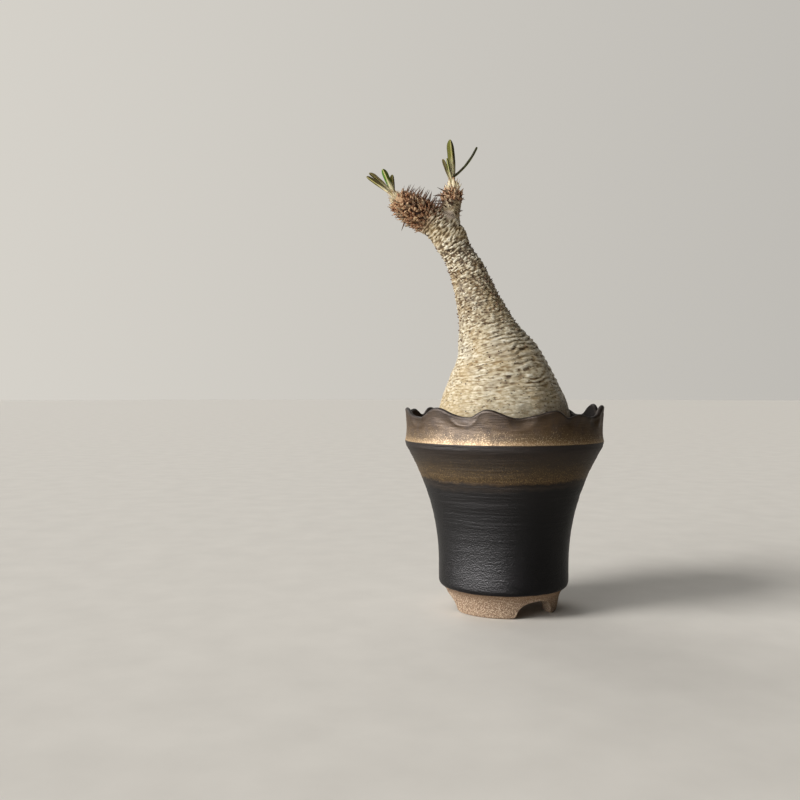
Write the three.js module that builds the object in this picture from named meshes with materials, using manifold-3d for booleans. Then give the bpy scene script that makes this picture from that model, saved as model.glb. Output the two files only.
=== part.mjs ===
// A potted Pachypodium gracilius: a bottle-shaped stem (the caudex) with a leaning neck and two
// short spiny branches, each ending in a tuft of young leaves. It stands in gritty soil in a
// flared stoneware pot with a ruffled rim, a sharp shoulder ridge and a foot ring cut into
// three feet. Millimetres, +Z up, seen from -Y. The origin is the centre of the part's
// bounding box, on the surface that the pot stands on.
import * as THREE from "three";
import { mergeVertices } from "three/addons/utils/BufferGeometryUtils.js";
import Module from "manifold-3d";

const wasm = await Module();
wasm.setup();

// Driving dimensions of the pot
const potAxisX = 13; // the pot's axis, to the right of the origin
const potSegments = 72;
const footRadius = 35.2;
const footInnerRadius = 28;
const footFlare = 1.6; // the foot ring widens by this much before the chamfer
const footFlareZ = 9.2;
const archHeight = 11.5;
const archPower = 2.3; // 2 is an elliptic arch, and more is squarer
const baseRadius = 42.5; // where the glazed wall starts
const baseCornerZ = 16;
const undersideZ = 12.5;
const floorZ = 20;
const drainRadius = 9;
const flareStartZ = 28;
const flareEndZ = 107;
const flareReach = 21.6;
const flarePower = 2.1;
const ridgeRadius = 65;
const ridgeZ = 110.6;
const collarRadius = 64;
const collarZ = 115;
const waistRadius = 63.4;
const waistZ = 121;
const rimZ = 127.2; // the rim's edge in the valleys between its crests
const rimSpread = 0.5;
const wall = 4.6;
const lip = 3;
const lipRound = 1.2;
const edgeRound = 0.7;
const floorRound = 2;
const rimLean = 1.6; // how far the highest crests lean out

// Each arch between two feet: azimuth in degrees from the front towards +X, and width at the floor
const arches = [
  [29, 27],
  [150, 29],
  [268, 34.5],
];

// Each crest of the ruffled rim: azimuth, rise, and the spans of its left and right slopes
const rimCrests = [
  [-88, 5.3, 22, 22],
  [-46.3, 6, 15, 20],
  [-15.5, 5.1, 11, 16],
  [22.7, 4.5, 21, 9],
  [40, 2.2, 9, 12],
  [72, 7.1, 15, 13],
  [102, 7.5, 14, 13],
  [132, 4.6, 15, 16],
  [167, 5.2, 16, 18],
  [201, 4.6, 15, 14],
  [228, 4.7, 12, 9],
  [248, 4, 9, 22],
];

// Driving dimensions of the soil and the net
const soilZ = 117.5;
const clearance = 0.3;
const grainSize = 3.6; // a grain's radius
const grainRings = [47.7, 53.6];
const grainSpacing = 2.7; // in grain radii
const grainSunk = 1.5;
const netRadius = 15;
const netThickness = 0.8;
const netPitch = 6;
const netHole = 4.4;

// The caudex: x, y and z of its axis and its radius, from the tip of the root to the fork
const caudexSections = [
  [0, 0, 60, 3],
  [0, 0, 76, 13],
  [0, 0, 92, 27],
  [0, 0, 107, 38],
  [-0.6, 0, 122, 43.8],
  [-0.9, 0, 131, 42.7],
  [-1.8, 0, 141, 39.6],
  [-2.9, -0.3, 152, 35.1],
  [-4.5, -0.5, 162, 30.4],
  [-7, -0.6, 171.5, 25.2],
  [-10, -0.6, 181, 20.5],
  [-13, -0.4, 191, 17.2],
  [-16.6, 0, 201.5, 14.5],
  [-20.4, 0.4, 213, 12.8],
  [-24.6, 0.6, 224, 11.4],
  [-30.4, 0.4, 234.5, 9.9],
  [-35.4, 0, 243.5, 10.4],
  [-37.8, 0, 250.5, 9],
  [-38.4, 0, 254.5, 2.5],
];
const caudexColumns = 36;
const caudexRows = 78;

// The branches, in the same way, from inside the fork to the flat end that carries the leaves
const leftBranch = [
  [-32.4, 0, 246, 7],
  [-39.4, -0.8, 250.4, 10],
  [-47.4, -2, 255.2, 9.6],
  [-55.2, -3.2, 259.6, 9],
  [-62.7, -4, 264, 8.5],
  [-68, -4.5, 267.6, 6.8],
  [-71.2, -4.8, 270.2, 4.2],
];
const rightBranch = [
  [-36.4, 1, 246, 5],
  [-35.8, 1.8, 254, 6.2],
  [-35, 2.4, 261, 6.1],
  [-34.4, 2.8, 268, 6.4],
  [-34, 3, 274, 6.2],
  [-33.8, 3, 278.6, 3.6],
];
const leftColumns = 24;
const leftRows = 20;
const rightColumns = 18;
const rightRows = 18;

// Relief of the bark: leaf-base knobs, low on the old bulb and tall on the young branches
const bulbKnob = 0.5;
const neckKnob = 1;
const branchKnob = 1.5;

// Spines
const spineRadius = 0.5;
const spineSides = 3;
const spineLength = 6.5;
const spineSunk = 1.4; // how deep its root stands in the bark
const spinesEnd = 0.94; // the share of a branch that bears them
const goldenAngle = Math.PI * (3 - Math.sqrt(5));

// Leaves and buds
const leafThickness = 0.9;
const budScales = 5;
const scaleLean = 0.25; // radians that a scale of the bud leans out

const radians = THREE.MathUtils.degToRad;
const smooth = THREE.MathUtils.smoothstep;

// A repeatable stream of random numbers from 0 to 1
function randomStream(seed) {
  let state = seed;
  return () => {
    state = (state + 0x6d2b79f5) | 0;
    let mixed = Math.imul(state ^ (state >>> 15), 1 | state);
    mixed = (mixed + Math.imul(mixed ^ (mixed >>> 7), 61 | mixed)) ^ mixed;
    return ((mixed ^ (mixed >>> 14)) >>> 0) / 4294967296;
  };
}

// A closed three.js geometry as a solid for cutting and joining
function solidOf(geometry) {
  const bare = geometry.clone();
  bare.deleteAttribute("normal");
  bare.deleteAttribute("uv");
  const merged = mergeVertices(bare, 1e-4);
  return new wasm.Manifold(
    new wasm.Mesh({
      numProp: 3,
      vertProperties: new Float32Array(merged.attributes.position.array),
      triVerts: new Uint32Array(merged.index.array),
    }),
  );
}

// A solid as a named mesh with its own material
function meshOf(name, solid, material) {
  const made = solid.getMesh();
  const geometry = new THREE.BufferGeometry();
  geometry.setAttribute("position", new THREE.BufferAttribute(made.vertProperties, 3));
  geometry.setIndex(new THREE.BufferAttribute(made.triVerts, 1));
  geometry.computeVertexNormals();
  const mesh = new THREE.Mesh(geometry, material);
  mesh.name = name;
  return mesh;
}

// A solid turned round the vertical axis from a closed profile of [radius, z] points
function turned(profile, segments) {
  const points = [...profile, profile[0]].map(([r, z]) => new THREE.Vector2(r, z));
  return new THREE.LatheGeometry(points, segments).rotateX(Math.PI / 2);
}

// A direction in the ground plane, from an azimuth in degrees from the front towards +X
function heading(azimuth) {
  return new THREE.Vector3(Math.sin(radians(azimuth)), -Math.cos(radians(azimuth)), 0);
}

// How far the rim's edge rises at an azimuth: the crests' slopes, one beside the other
function rimRise(azimuth) {
  let rise = 0;
  for (const [at, high, left, right] of rimCrests) {
    const off = ((azimuth - at + 540) % 360) - 180;
    const share = Math.min(1, Math.abs(off) / (off < 0 ? left : right));
    rise = Math.max(rise, high * (0.5 + 0.5 * Math.cos(Math.PI * share)));
  }
  return rise;
}

// The outer radius of the flared wall at a height
function wallRadius(z) {
  const share = Math.max(0, (z - flareStartZ) / (flareEndZ - flareStartZ));
  return baseRadius + flareReach * share ** flarePower;
}

function potProfile() {
  const flareZs = [44, 60, 75, 88, 98, flareEndZ];
  const innerZs = [109, 95, 76, 54, 27];
  const lipRadius = waistRadius + rimSpread;
  return [
    [footRadius, 0],
    [footRadius + footFlare, footFlareZ],
    [baseRadius - edgeRound, baseCornerZ - 2 * edgeRound],
    [baseRadius, baseCornerZ + edgeRound],
    ...flareZs.map((z) => [wallRadius(z), z]),
    [ridgeRadius, ridgeZ],
    [collarRadius, collarZ],
    [waistRadius, waistZ],
    [lipRadius, rimZ - lipRound],
    [lipRadius - lip / 2, rimZ],
    [lipRadius - lip, rimZ - lipRound],
    [waistRadius - wall, waistZ],
    ...innerZs.map((z) => [wallRadius(z) - wall, z]),
    [wallRadius(floorZ) - wall - floorRound, floorZ],
    [drainRadius, floorZ],
    [drainRadius, undersideZ],
    [footInnerRadius - edgeRound, undersideZ],
    [footInnerRadius, 0],
  ];
}

// The turned pot with its rim pulled up and out into crests
function ruffledPot() {
  const geometry = turned(potProfile(), potSegments);
  const position = geometry.attributes.position;
  const highest = Math.max(...rimCrests.map(([, rise]) => rise));
  for (let i = 0; i < position.count; i++) {
    const point = new THREE.Vector3().fromBufferAttribute(position, i);
    const share = smooth(point.z, ridgeZ, rimZ);
    const azimuth = THREE.MathUtils.radToDeg(Math.atan2(point.x, -point.y));
    const rise = rimRise(azimuth);
    const radius = Math.hypot(point.x, point.y);
    const grown = (radius + (share * rimLean * rise) / highest) / radius;
    position.setXYZ(i, point.x * grown, point.y * grown, point.z + share * rise);
  }
  return solidOf(geometry);
}

// The cutter of one arch between two feet, pointing out along an azimuth: a squarish half ellipse
function archCutter([azimuth, floorWidth]) {
  const below = 2;
  const steps = 12;
  const bend = (share) => Math.sign(share) * Math.abs(share) ** (2 / archPower);
  const outline = new THREE.Shape();
  outline.moveTo(-floorWidth / 2 - 1, -below);
  outline.lineTo(floorWidth / 2 + 1, -below);
  for (let i = 0; i <= steps; i++) {
    const turn = (Math.PI * i) / steps;
    outline.lineTo((bend(Math.cos(turn)) * floorWidth) / 2, bend(Math.sin(turn)) * archHeight);
  }
  outline.lineTo(-floorWidth / 2 - 1, -below);
  const depth = footRadius;
  const geometry = new THREE.ExtrudeGeometry(outline, { depth, bevelEnabled: false });
  geometry.rotateX(Math.PI / 2); // the outline's height along Z, its depth towards -Y
  geometry.translate(0, -drainRadius - 3, 0);
  geometry.rotateZ(radians(azimuth));
  return solidOf(geometry);
}

function makePot() {
  const material = new THREE.MeshStandardMaterial({
    name: "bronze_black_glaze",
    color: 0x2b2523,
    roughness: 0.42,
    metalness: 0.25,
  });
  const cutters = arches.map(archCutter);
  const solid = cutters.reduce((pot, cutter) => pot.subtract(cutter), ruffledPot());
  return meshOf("pot", solid, material);
}

// A closed body along a curve. Sections are [x, y, z, radius], and relief(row, column, share)
// gives how far a vertex is raised. grow widens the whole body.
function lofted(sections, columns, rows, { relief = () => 0, grow = 0, flatEnd = false } = {}) {
  const axis = new THREE.CatmullRomCurve3(sections.map(([x, y, z]) => new THREE.Vector3(x, y, z)));
  const radii = new THREE.CatmullRomCurve3(sections.map(([, , , r], i) => new THREE.Vector3(i, r, 0)));
  const geometry = new THREE.SphereGeometry(1, columns, rows);
  const position = geometry.attributes.position;
  const up = new THREE.Vector3(0, 1, 0);
  const last = sections.length - 1;
  for (let row = 0; row <= rows; row++) {
    const share = 1 - row / rows; // the sphere's first row is its north pole
    const inner = THREE.MathUtils.clamp((share * (rows + 2) - 1) / rows, 0, 1);
    const along = axis.getPoint(inner);
    const tangent = axis.getTangent(inner);
    const side = new THREE.Vector3().crossVectors(up, tangent).normalize();
    const front = new THREE.Vector3().crossVectors(tangent, side);
    const pole = row === 0 || row === rows;
    const radius = pole ? 0 : radii.getPoint(inner).y + grow;
    const cap = row === 0 && !flatEnd ? 0.4 : 0;
    along.addScaledVector(tangent, cap + (row === 0 ? grow : row === rows ? -grow : 0));
    const first = row * (columns + 1);
    for (let column = 0; column < columns; column++) {
      const turn = (2 * Math.PI * column) / columns;
      const reach = pole ? 0 : radius + relief(row, column, inner * last);
      const point = along
        .clone()
        .addScaledVector(side, reach * Math.cos(turn))
        .addScaledVector(front, reach * Math.sin(turn));
      position.setXYZ(first + column, point.x, point.y, point.z);
    }
    const seam = new THREE.Vector3().fromBufferAttribute(position, first);
    position.setXYZ(first + columns, seam.x, seam.y, seam.z);
  }
  return solidOf(geometry);
}

// Knobs in staggered rows: every second vertex of every second row stands up
function knobs(height, seed) {
  const random = randomStream(seed);
  return (row, column, section) => {
    const tall = row % 2 === 0 && (column + row / 2) % 2 === 0;
    const vary = 0.7 + 0.6 * random();
    return (tall ? 0.6 : -0.4) * vary * height(section);
  };
}

// The knobs' height on the caudex: none below the soil, low on the bulb, tall on the neck
function caudexKnob(section) {
  const aboveSoil = smooth(section, 4, 5);
  return aboveSoil * THREE.MathUtils.lerp(bulbKnob, neckKnob, smooth(section, 8, 14));
}

// A spine that stands on a branch: a slim three-sided cone along a direction
function spine(root, direction, length) {
  const geometry = new THREE.ConeGeometry(spineRadius, length + spineSunk, spineSides);
  geometry.translate(0, (length - spineSunk) / 2, 0);
  const turn = new THREE.Quaternion().setFromUnitVectors(new THREE.Vector3(0, 1, 0), direction);
  geometry.applyQuaternion(turn);
  geometry.translate(root.x, root.y, root.z);
  return solidOf(geometry);
}

// Spines in a golden-angle spiral along a branch, longest on the side that they favour
function spinesOn(sections, count, from, favoured, seed) {
  const random = randomStream(seed);
  const axis = new THREE.CatmullRomCurve3(sections.map(([x, y, z]) => new THREE.Vector3(x, y, z)));
  const radii = new THREE.CatmullRomCurve3(sections.map(([, , , r], i) => new THREE.Vector3(i, r, 0)));
  const made = [];
  for (let i = 0; i < count; i++) {
    const share = from + ((spinesEnd - from) * (i + 0.5)) / count;
    const turn = i * goldenAngle + 0.3 * random();
    const tangent = axis.getTangent(share);
    const side = new THREE.Vector3().crossVectors(new THREE.Vector3(0, 1, 0), tangent).normalize();
    const front = new THREE.Vector3().crossVectors(tangent, side);
    const out = side.multiplyScalar(Math.cos(turn)).addScaledVector(front, Math.sin(turn));
    const root = axis.getPoint(share).addScaledVector(out, radii.getPoint(share).y);
    const favour = 0.5 + 0.5 * out.dot(favoured);
    const length = spineLength * (0.1 + 0.65 * favour + 0.25 * random());
    const lean = 0.15 + 0.5 * share * random();
    const direction = out.clone().addScaledVector(tangent, lean).normalize();
    made.push(spine(root, direction, length));
  }
  return made;
}

function caudexSolid() {
  const trunk = lofted(caudexSections, caudexColumns, caudexRows, { relief: knobs(caudexKnob, 11) });
  const leftKnobs = { relief: knobs(() => branchKnob, 12), flatEnd: true };
  const rightKnobs = { relief: knobs(() => branchKnob, 13), flatEnd: true };
  const left = lofted(leftBranch, leftColumns, leftRows, leftKnobs);
  const right = lofted(rightBranch, rightColumns, rightRows, rightKnobs);
  const upward = new THREE.Vector3(0, -0.2, 1).normalize();
  const leftward = new THREE.Vector3(-1, -0.2, 0.3).normalize();
  const lone = spine(new THREE.Vector3(-65.2, -4, 256.6), new THREE.Vector3(-0.3, 0, -0.95), 8.6);
  const leftSpines = spinesOn(leftBranch, 74, 0.3, upward, 21);
  const rightSpines = spinesOn(rightBranch, 46, 0.34, leftward, 22);
  return wasm.Manifold.union([trunk, left, right, lone, ...leftSpines, ...rightSpines]);
}

function makeCaudex() {
  const material = new THREE.MeshStandardMaterial({
    name: "silver_bark",
    color: 0xb3a58a,
    roughness: 0.8,
    metalness: 0,
  });
  return meshOf("caudex", caudexSolid(), material);
}

// Gritty soil: a filling turned to the pot's inside, covered with grains in loose rings
function makeSoil() {
  const material = new THREE.MeshStandardMaterial({
    name: "pumice_and_baked_clay_grit",
    color: 0x8a7660,
    roughness: 0.95,
    metalness: 0,
  });
  const random = randomStream(31);
  const zs = [27, 54, 76, 95, 109];
  const bottomZ = floorZ + clearance;
  const overNetZ = bottomZ + netThickness + clearance;
  const bedZ = soilZ - grainSunk;
  const profile = [
    [0, overNetZ],
    [netRadius + clearance, overNetZ],
    [netRadius + clearance, bottomZ],
    [wallRadius(floorZ) - wall - floorRound - clearance, bottomZ],
    ...zs.map((z) => [wallRadius(z) - wall - 2 * clearance, z]),
    [waistRadius - wall - 2 * clearance, bedZ],
    [0, bedZ],
  ];
  const grains = [];
  grainRings.forEach((radius, ring) => {
    const count = Math.round((2 * Math.PI * radius) / (grainSpacing * grainSize));
    for (let i = 0; i < count; i++) {
      const size = grainSize * (0.8 + 0.4 * random());
      const grain = new THREE.IcosahedronGeometry(size, 0);
      grain.scale(1, 0.85 + 0.3 * random(), 0.8);
      grain.rotateX(6.28 * random()).rotateY(6.28 * random());
      const at = heading((360 * (i + 0.5 * (ring % 2) + 0.3 * random())) / count);
      const out = radius + 0.8 * (random() - 0.5);
      grain.translate(at.x * out, at.y * out, bedZ + 1.2 * random());
      grains.push(solidOf(grain));
    }
  });
  const filled = wasm.Manifold.union([solidOf(turned(profile, potSegments / 2)), ...grains]);
  const socketSections = [[0, 0, 56, 3], ...caudexSections.slice(1, 7)];
  const socket = lofted(socketSections, 24, 16, { grow: 4 * clearance });
  return meshOf("soil", filled.subtract(socket), material);
}

// A round net with square holes, which lies over the drain hole
function makeDrainNet() {
  const material = new THREE.MeshStandardMaterial({
    name: "black_net",
    color: 0x1c1d1c,
    roughness: 0.6,
    metalness: 0,
  });
  const middleZ = floorZ + clearance + netThickness / 2;
  const disc = new THREE.CylinderGeometry(netRadius, netRadius, netThickness, 24);
  const holes = [];
  const reach = Math.floor(netRadius / netPitch);
  for (let i = -reach; i <= reach; i++) {
    for (let j = -reach; j <= reach; j++) {
      const [x, y] = [i * netPitch, j * netPitch];
      if (Math.hypot(Math.abs(x) + netHole / 2, Math.abs(y) + netHole / 2) > netRadius - 1) continue;
      const hole = new THREE.BoxGeometry(netHole, netHole, 2 * netThickness);
      holes.push(solidOf(hole.translate(x, y, middleZ)));
    }
  }
  const solid = solidOf(disc.rotateX(Math.PI / 2).translate(0, 0, middleZ));
  return meshOf("drain_net", solid.subtract(wasm.Manifold.union(holes)), material);
}

// One young leaf: a lance-shaped blade, folded along its midrib, along a curve from root to tip.
// width is its full width, fold how steeply its halves rise, facing its upper side.
function leaf(root, bend, tip, facing, width, fold) {
  const columns = 8;
  const rows = 7;
  const curve = new THREE.QuadraticBezierCurve3(root, bend, tip);
  const geometry = new THREE.SphereGeometry(1, columns, rows);
  const position = geometry.attributes.position;
  for (let row = 0; row <= rows; row++) {
    const share = 0.5 + 0.5 * Math.cos((Math.PI * row) / rows); // closer rows at both ends
    const along = curve.getPoint(share);
    const tangent = curve.getTangent(share);
    const across = new THREE.Vector3().crossVectors(tangent, facing).normalize();
    const normal = new THREE.Vector3().crossVectors(across, tangent);
    const pole = row === 0 || row === rows;
    const outline = pole ? 0 : 0.35 + 0.65 * Math.sin(Math.PI * (0.12 + 0.86 * share));
    for (let column = 0; column <= columns; column++) {
      const turn = (2 * Math.PI * (column % columns)) / columns;
      const half = (-Math.cos(turn) * outline * width) / 2;
      const deep = pole ? 0 : (Math.sin(turn) * leafThickness) / 2 + Math.abs(half) * fold;
      const point = along.clone().addScaledVector(across, half).addScaledVector(normal, deep);
      position.setXYZ(row * (columns + 1) + column, point.x, point.y, point.z);
    }
  }
  return solidOf(geometry);
}

// The pale bud that the leaves grow from: a short cone with pointed scales round it
function bud(end, direction, radius, height) {
  const turn = new THREE.Quaternion().setFromUnitVectors(new THREE.Vector3(0, 1, 0), direction);
  const core = new THREE.CylinderGeometry(radius * 0.35, radius, height, 8);
  core.translate(0, height / 2 + 1.2 * clearance, 0);
  const pieces = [core];
  for (let i = 0; i < budScales; i++) {
    const scale = new THREE.ConeGeometry(radius * 0.36, height * 1.1, 4);
    scale.translate(0, height * 0.55, 0).rotateX(scaleLean);
    scale.translate(0, 2.4 * clearance, radius * 0.62).rotateY((2 * Math.PI * i) / budScales);
    pieces.push(scale);
  }
  return pieces.map((piece) => solidOf(piece.applyQuaternion(turn).translate(end.x, end.y, end.z)));
}

// Where a branch ends, and which way it points there
function branchEnd(sections) {
  const [[ax, ay, az], [bx, by, bz]] = sections.slice(-2);
  const end = new THREE.Vector3(bx, by, bz);
  return { end, direction: end.clone().sub(new THREE.Vector3(ax, ay, az)).normalize() };
}

// A tuft: the bud and its leaves, each from inside the bud. A leaf is given by its tip, how far
// its middle is bent aside, its upper side's direction, its width and its fold.
function tuft(name, sections, radius, height, leaves) {
  const material = new THREE.MeshStandardMaterial({
    name: "young_leaf",
    color: 0x5f6b33,
    roughness: 0.55,
    metalness: 0,
  });
  const { end, direction } = branchEnd(sections);
  const blades = leaves.map(([tip, bend, facing, width, fold]) => {
    const target = new THREE.Vector3(...tip);
    const root = end.clone().addScaledVector(direction, 1.6);
    const middle = root.clone().lerp(target, 0.5).add(new THREE.Vector3(...bend));
    return leaf(root, middle, target, new THREE.Vector3(...facing).normalize(), width, fold);
  });
  return meshOf(name, wasm.Manifold.union([...bud(end, direction, radius, height), ...blades]), material);
}

function makeLeftTuft() {
  return tuft("left_leaf_tuft", leftBranch, 3.9, 5, [
    [[-89.1, -8, 286], [0.6, 0, 0.6], [0.5, -1, 0.6], 4.4, 0.35],
    [[-91, -3, 285], [0.6, 0, -0.2], [0.4, 0.9, 0.9], 3.2, 0.3],
    [[-80.3, -7, 288.9], [0, 0, 0], [0.9, -1, 0.3], 4.6, 0.4],
    [[-73.8, -2, 286.5], [-0.6, 0, 0], [1, -0.8, 0], 4, 0.4],
  ]);
}

function makeRightTuft() {
  return tuft("right_leaf_tuft", rightBranch, 3.4, 4.6, [
    [[-36.5, 1.5, 310.7], [-0.4, -0.4, 0], [0.3, -1, 0], 5, 0.35],
    [[-34.6, 5, 306], [0.8, 0.4, 0], [-0.2, 1, 0], 4, 0.35],
    [[-17.9, 2.6, 305.2], [1.8, 0, -1.2], [-0.6, 0.2, 0.8], 2.1, 0.3],
    [[-40.4, 1, 297.4], [0.2, 0, 0], [1, -0.6, 0.2], 2.2, 0.3],
    [[-37.8, 6, 298], [-0.2, 0.6, 0], [0.6, 1, 0.2], 2.2, 0.3],
  ]);
}

const pottedPlant = new THREE.Group();
pottedPlant.add(makePot(), makeSoil(), makeDrainNet(), makeCaudex(), makeLeftTuft(), makeRightTuft());
pottedPlant.position.x = potAxisX;

const part = new THREE.Group();
part.add(pottedPlant);

export default part;
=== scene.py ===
# %% [markdown]
# # A potted Pachypodium gracilius
# The plant has a silvery, bottle-shaped stem, the caudex, with a leaning neck and two short
# spiny branches that each carry a tuft of young leaves. It stands in gritty soil in a flared
# stoneware pot with a ruffled rim and a foot ring cut into three feet. The plain solids of the
# frame give every size and place. Each cell below makes one piece or one finish over them.

import math
import random

import bpy
from mathutils import Matrix, Vector, kdtree, noise


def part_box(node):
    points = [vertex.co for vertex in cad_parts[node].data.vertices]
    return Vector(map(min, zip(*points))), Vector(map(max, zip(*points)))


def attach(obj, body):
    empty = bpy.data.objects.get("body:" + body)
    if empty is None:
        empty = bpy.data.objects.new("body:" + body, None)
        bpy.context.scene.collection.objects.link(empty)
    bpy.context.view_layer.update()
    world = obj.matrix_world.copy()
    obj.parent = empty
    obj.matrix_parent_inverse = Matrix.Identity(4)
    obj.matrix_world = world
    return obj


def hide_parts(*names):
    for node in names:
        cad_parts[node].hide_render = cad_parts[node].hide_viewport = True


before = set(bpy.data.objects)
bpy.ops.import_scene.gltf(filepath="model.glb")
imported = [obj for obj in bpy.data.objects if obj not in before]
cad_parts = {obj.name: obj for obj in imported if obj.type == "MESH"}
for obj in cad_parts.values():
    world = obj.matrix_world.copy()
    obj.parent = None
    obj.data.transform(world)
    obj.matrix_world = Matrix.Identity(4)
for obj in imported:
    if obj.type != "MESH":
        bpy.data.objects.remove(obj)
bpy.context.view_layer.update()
print("nodes:", sorted(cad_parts))

# %% [markdown]
# ## The camera
# The photograph was taken from a little above the rim and well to the left of the pot's axis,
# with a mild wide angle. The camera looks almost level, so the walls of the pot keep their
# true slopes. Lengths in this lesson are written in millimetres and multiplied by MM, because
# Blender works in metres.

# %% Place the camera
MM = 0.001
pot_low, pot_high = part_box("pot")
AXIS_X = (pot_low.x + pot_high.x) / 2
AXIS = Vector((AXIS_X / MM, 0, 0))  # from the frame's origin to the pot's axis, in millimetres
CAMERA_LEFT_OF_AXIS = 68.8 * MM
CAMERA_DISTANCE = 577 * MM
CAMERA_HEIGHT = 143.3 * MM
CAMERA_PITCH_DOWN = 0.595  # degrees
FOCAL_LENGTH = 39
SENSOR_WIDTH = 36

bpy.ops.object.select_all(action="DESELECT")
bpy.ops.object.camera_add(
    location=(AXIS_X - CAMERA_LEFT_OF_AXIS, -CAMERA_DISTANCE, CAMERA_HEIGHT),
    rotation=(math.radians(90 - CAMERA_PITCH_DOWN), 0, 0),
)
camera = bpy.context.object
camera.name = "portrait_camera"
camera.data.sensor_width = SENSOR_WIDTH
camera.data.lens = FOCAL_LENGTH
bpy.context.scene.camera = camera
print("pot axis at", round(AXIS.x, 1), "mm, camera at", [round(v, 3) for v in camera.location])

# %% [markdown]
# ## Floor and light
# A wide pale floor and a pale backdrop stand in for a studio. The light comes from a window on
# the left: one soft lamp above and one lower down, nearly level, that reaches under the rim. A
# third, broad one lights the pot alone and is seen only as a reflection: it lays the sheen on
# the dark glaze. A weak one from behind edges the spines. All are sun lamps with wide discs,
# because area lamps so near would leave the far floor dark. The surroundings are pale behind
# the plant and dark on the right, so the dark glaze sinks almost to black there.


# %% Helpers for colours and nodes
def colour(red, green, blue):
    """A colour as a screen shows it, from 0 to 255, turned into the shader's linear numbers."""
    parts = [value / 255 for value in (red, green, blue)]
    linear = [p / 12.92 if p <= 0.04045 else ((p + 0.055) / 1.055) ** 2.4 for p in parts]
    return (*linear, 1)


def paint(tint):
    """A colour for a node: from three screen values, from one plain number, or as it comes."""
    if isinstance(tint, bpy.types.NodeSocket):
        return tint
    return colour(*tint) if isinstance(tint, tuple) else (tint, tint, tint, 1)


def add_node(tree, kind, sockets=(), **settings):
    """Adds a node, sets its properties, and fills or links its inputs."""
    made = tree.nodes.new(kind)
    for name, value in settings.items():
        setattr(made, name, value)
    for key, value in dict(sockets).items():
        if isinstance(value, bpy.types.NodeSocket):
            tree.links.new(value, made.inputs[key])
        else:
            made.inputs[key].default_value = value
    return made


def map_range(tree, value, low, high, start=0.0, end=1.0):
    """Maps a value from low and high to start and end, and holds it there."""
    spans = {"Value": value, "From Min": low, "From Max": high, "To Min": start, "To Max": end}
    return add_node(tree, "ShaderNodeMapRange", spans).outputs[0]


def mix_colours(tree, share, first, second):
    """Mixes two colours. A Mix node has them at its inputs 6 and 7, and the mix at output 2."""
    sockets = {0: share, 6: paint(first), 7: paint(second)}
    return add_node(tree, "ShaderNodeMix", sockets, data_type="RGBA").outputs[2]


print("a mid grey as the shader takes it:", [round(part, 3) for part in colour(128, 128, 128)])

# %% Floor and lights
FLOOR_RADIUS = 14  # metres


def add_sun(name, azimuth, elevation, strength, disc, tint):
    """A soft light from far away. The azimuth counts from the front towards the right."""
    bpy.ops.object.light_add(type="SUN", location=(0, 0, 1))
    light = bpy.context.object
    light.name = name
    light.data.energy = strength
    light.data.angle = math.radians(disc)
    light.data.color = tint
    turn, rise = math.radians(azimuth), math.radians(elevation)
    level = math.cos(rise)
    towards = Vector((math.sin(turn) * level, -math.cos(turn) * level, math.sin(rise)))
    light.rotation_euler = towards.to_track_quat("Z", "Y").to_euler()
    return light


bpy.ops.mesh.primitive_circle_add(vertices=96, radius=FLOOR_RADIUS, fill_type="NGON")
studio_floor = bpy.context.object
studio_floor.name = "studio_floor"

add_sun("window_light", azimuth=-68, elevation=32, strength=2.8, disc=24, tint=(1, 0.97, 0.93))
add_sun("low_window_light", azimuth=-50, elevation=8, strength=1.5, disc=36, tint=(1, 0.985, 0.96))
sheen_tint = (1, 0.97, 0.97)
sheen_light = add_sun("sheen_light", azimuth=-54, elevation=0, strength=66, disc=84, tint=sheen_tint)
sheen_light.visible_diffuse = False
add_sun("back_light", azimuth=-150, elevation=34, strength=0.7, disc=40, tint=(1, 0.98, 0.95))

# %% Surroundings
world = bpy.context.scene.world or bpy.data.worlds.new("studio")
bpy.context.scene.world = world
world.use_nodes = True
air = world.node_tree
direction = add_node(air, "ShaderNodeTexCoord").outputs["Generated"]
towards = add_node(air, "ShaderNodeSeparateXYZ", {0: direction}).outputs
backdrop_share = map_range(air, towards["X"], -0.45, 0.45)
backdrop = mix_colours(air, backdrop_share, (214, 210, 202), (190, 187, 181))
room_share = map_range(air, towards["X"], -0.9, 0.5)
room = mix_colours(air, room_share, (150, 149, 147), (30, 29, 28))
behind = map_range(air, towards["Y"], 0.45, 0.8)
air.links.new(mix_colours(air, behind, room, backdrop), air.nodes["Background"].inputs["Color"])
bpy.context.scene.view_settings.view_transform = "Standard"
print("nodes of the surroundings:", len(air.nodes))

# %% [markdown]
# ## Short ways to write a material
# Every finish is a small network of nodes round one shader. These helpers add the nodes that
# all the finishes share: noise, cells, ramps, mixes and sums. Each returns an output that the
# next one can take in.


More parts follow.
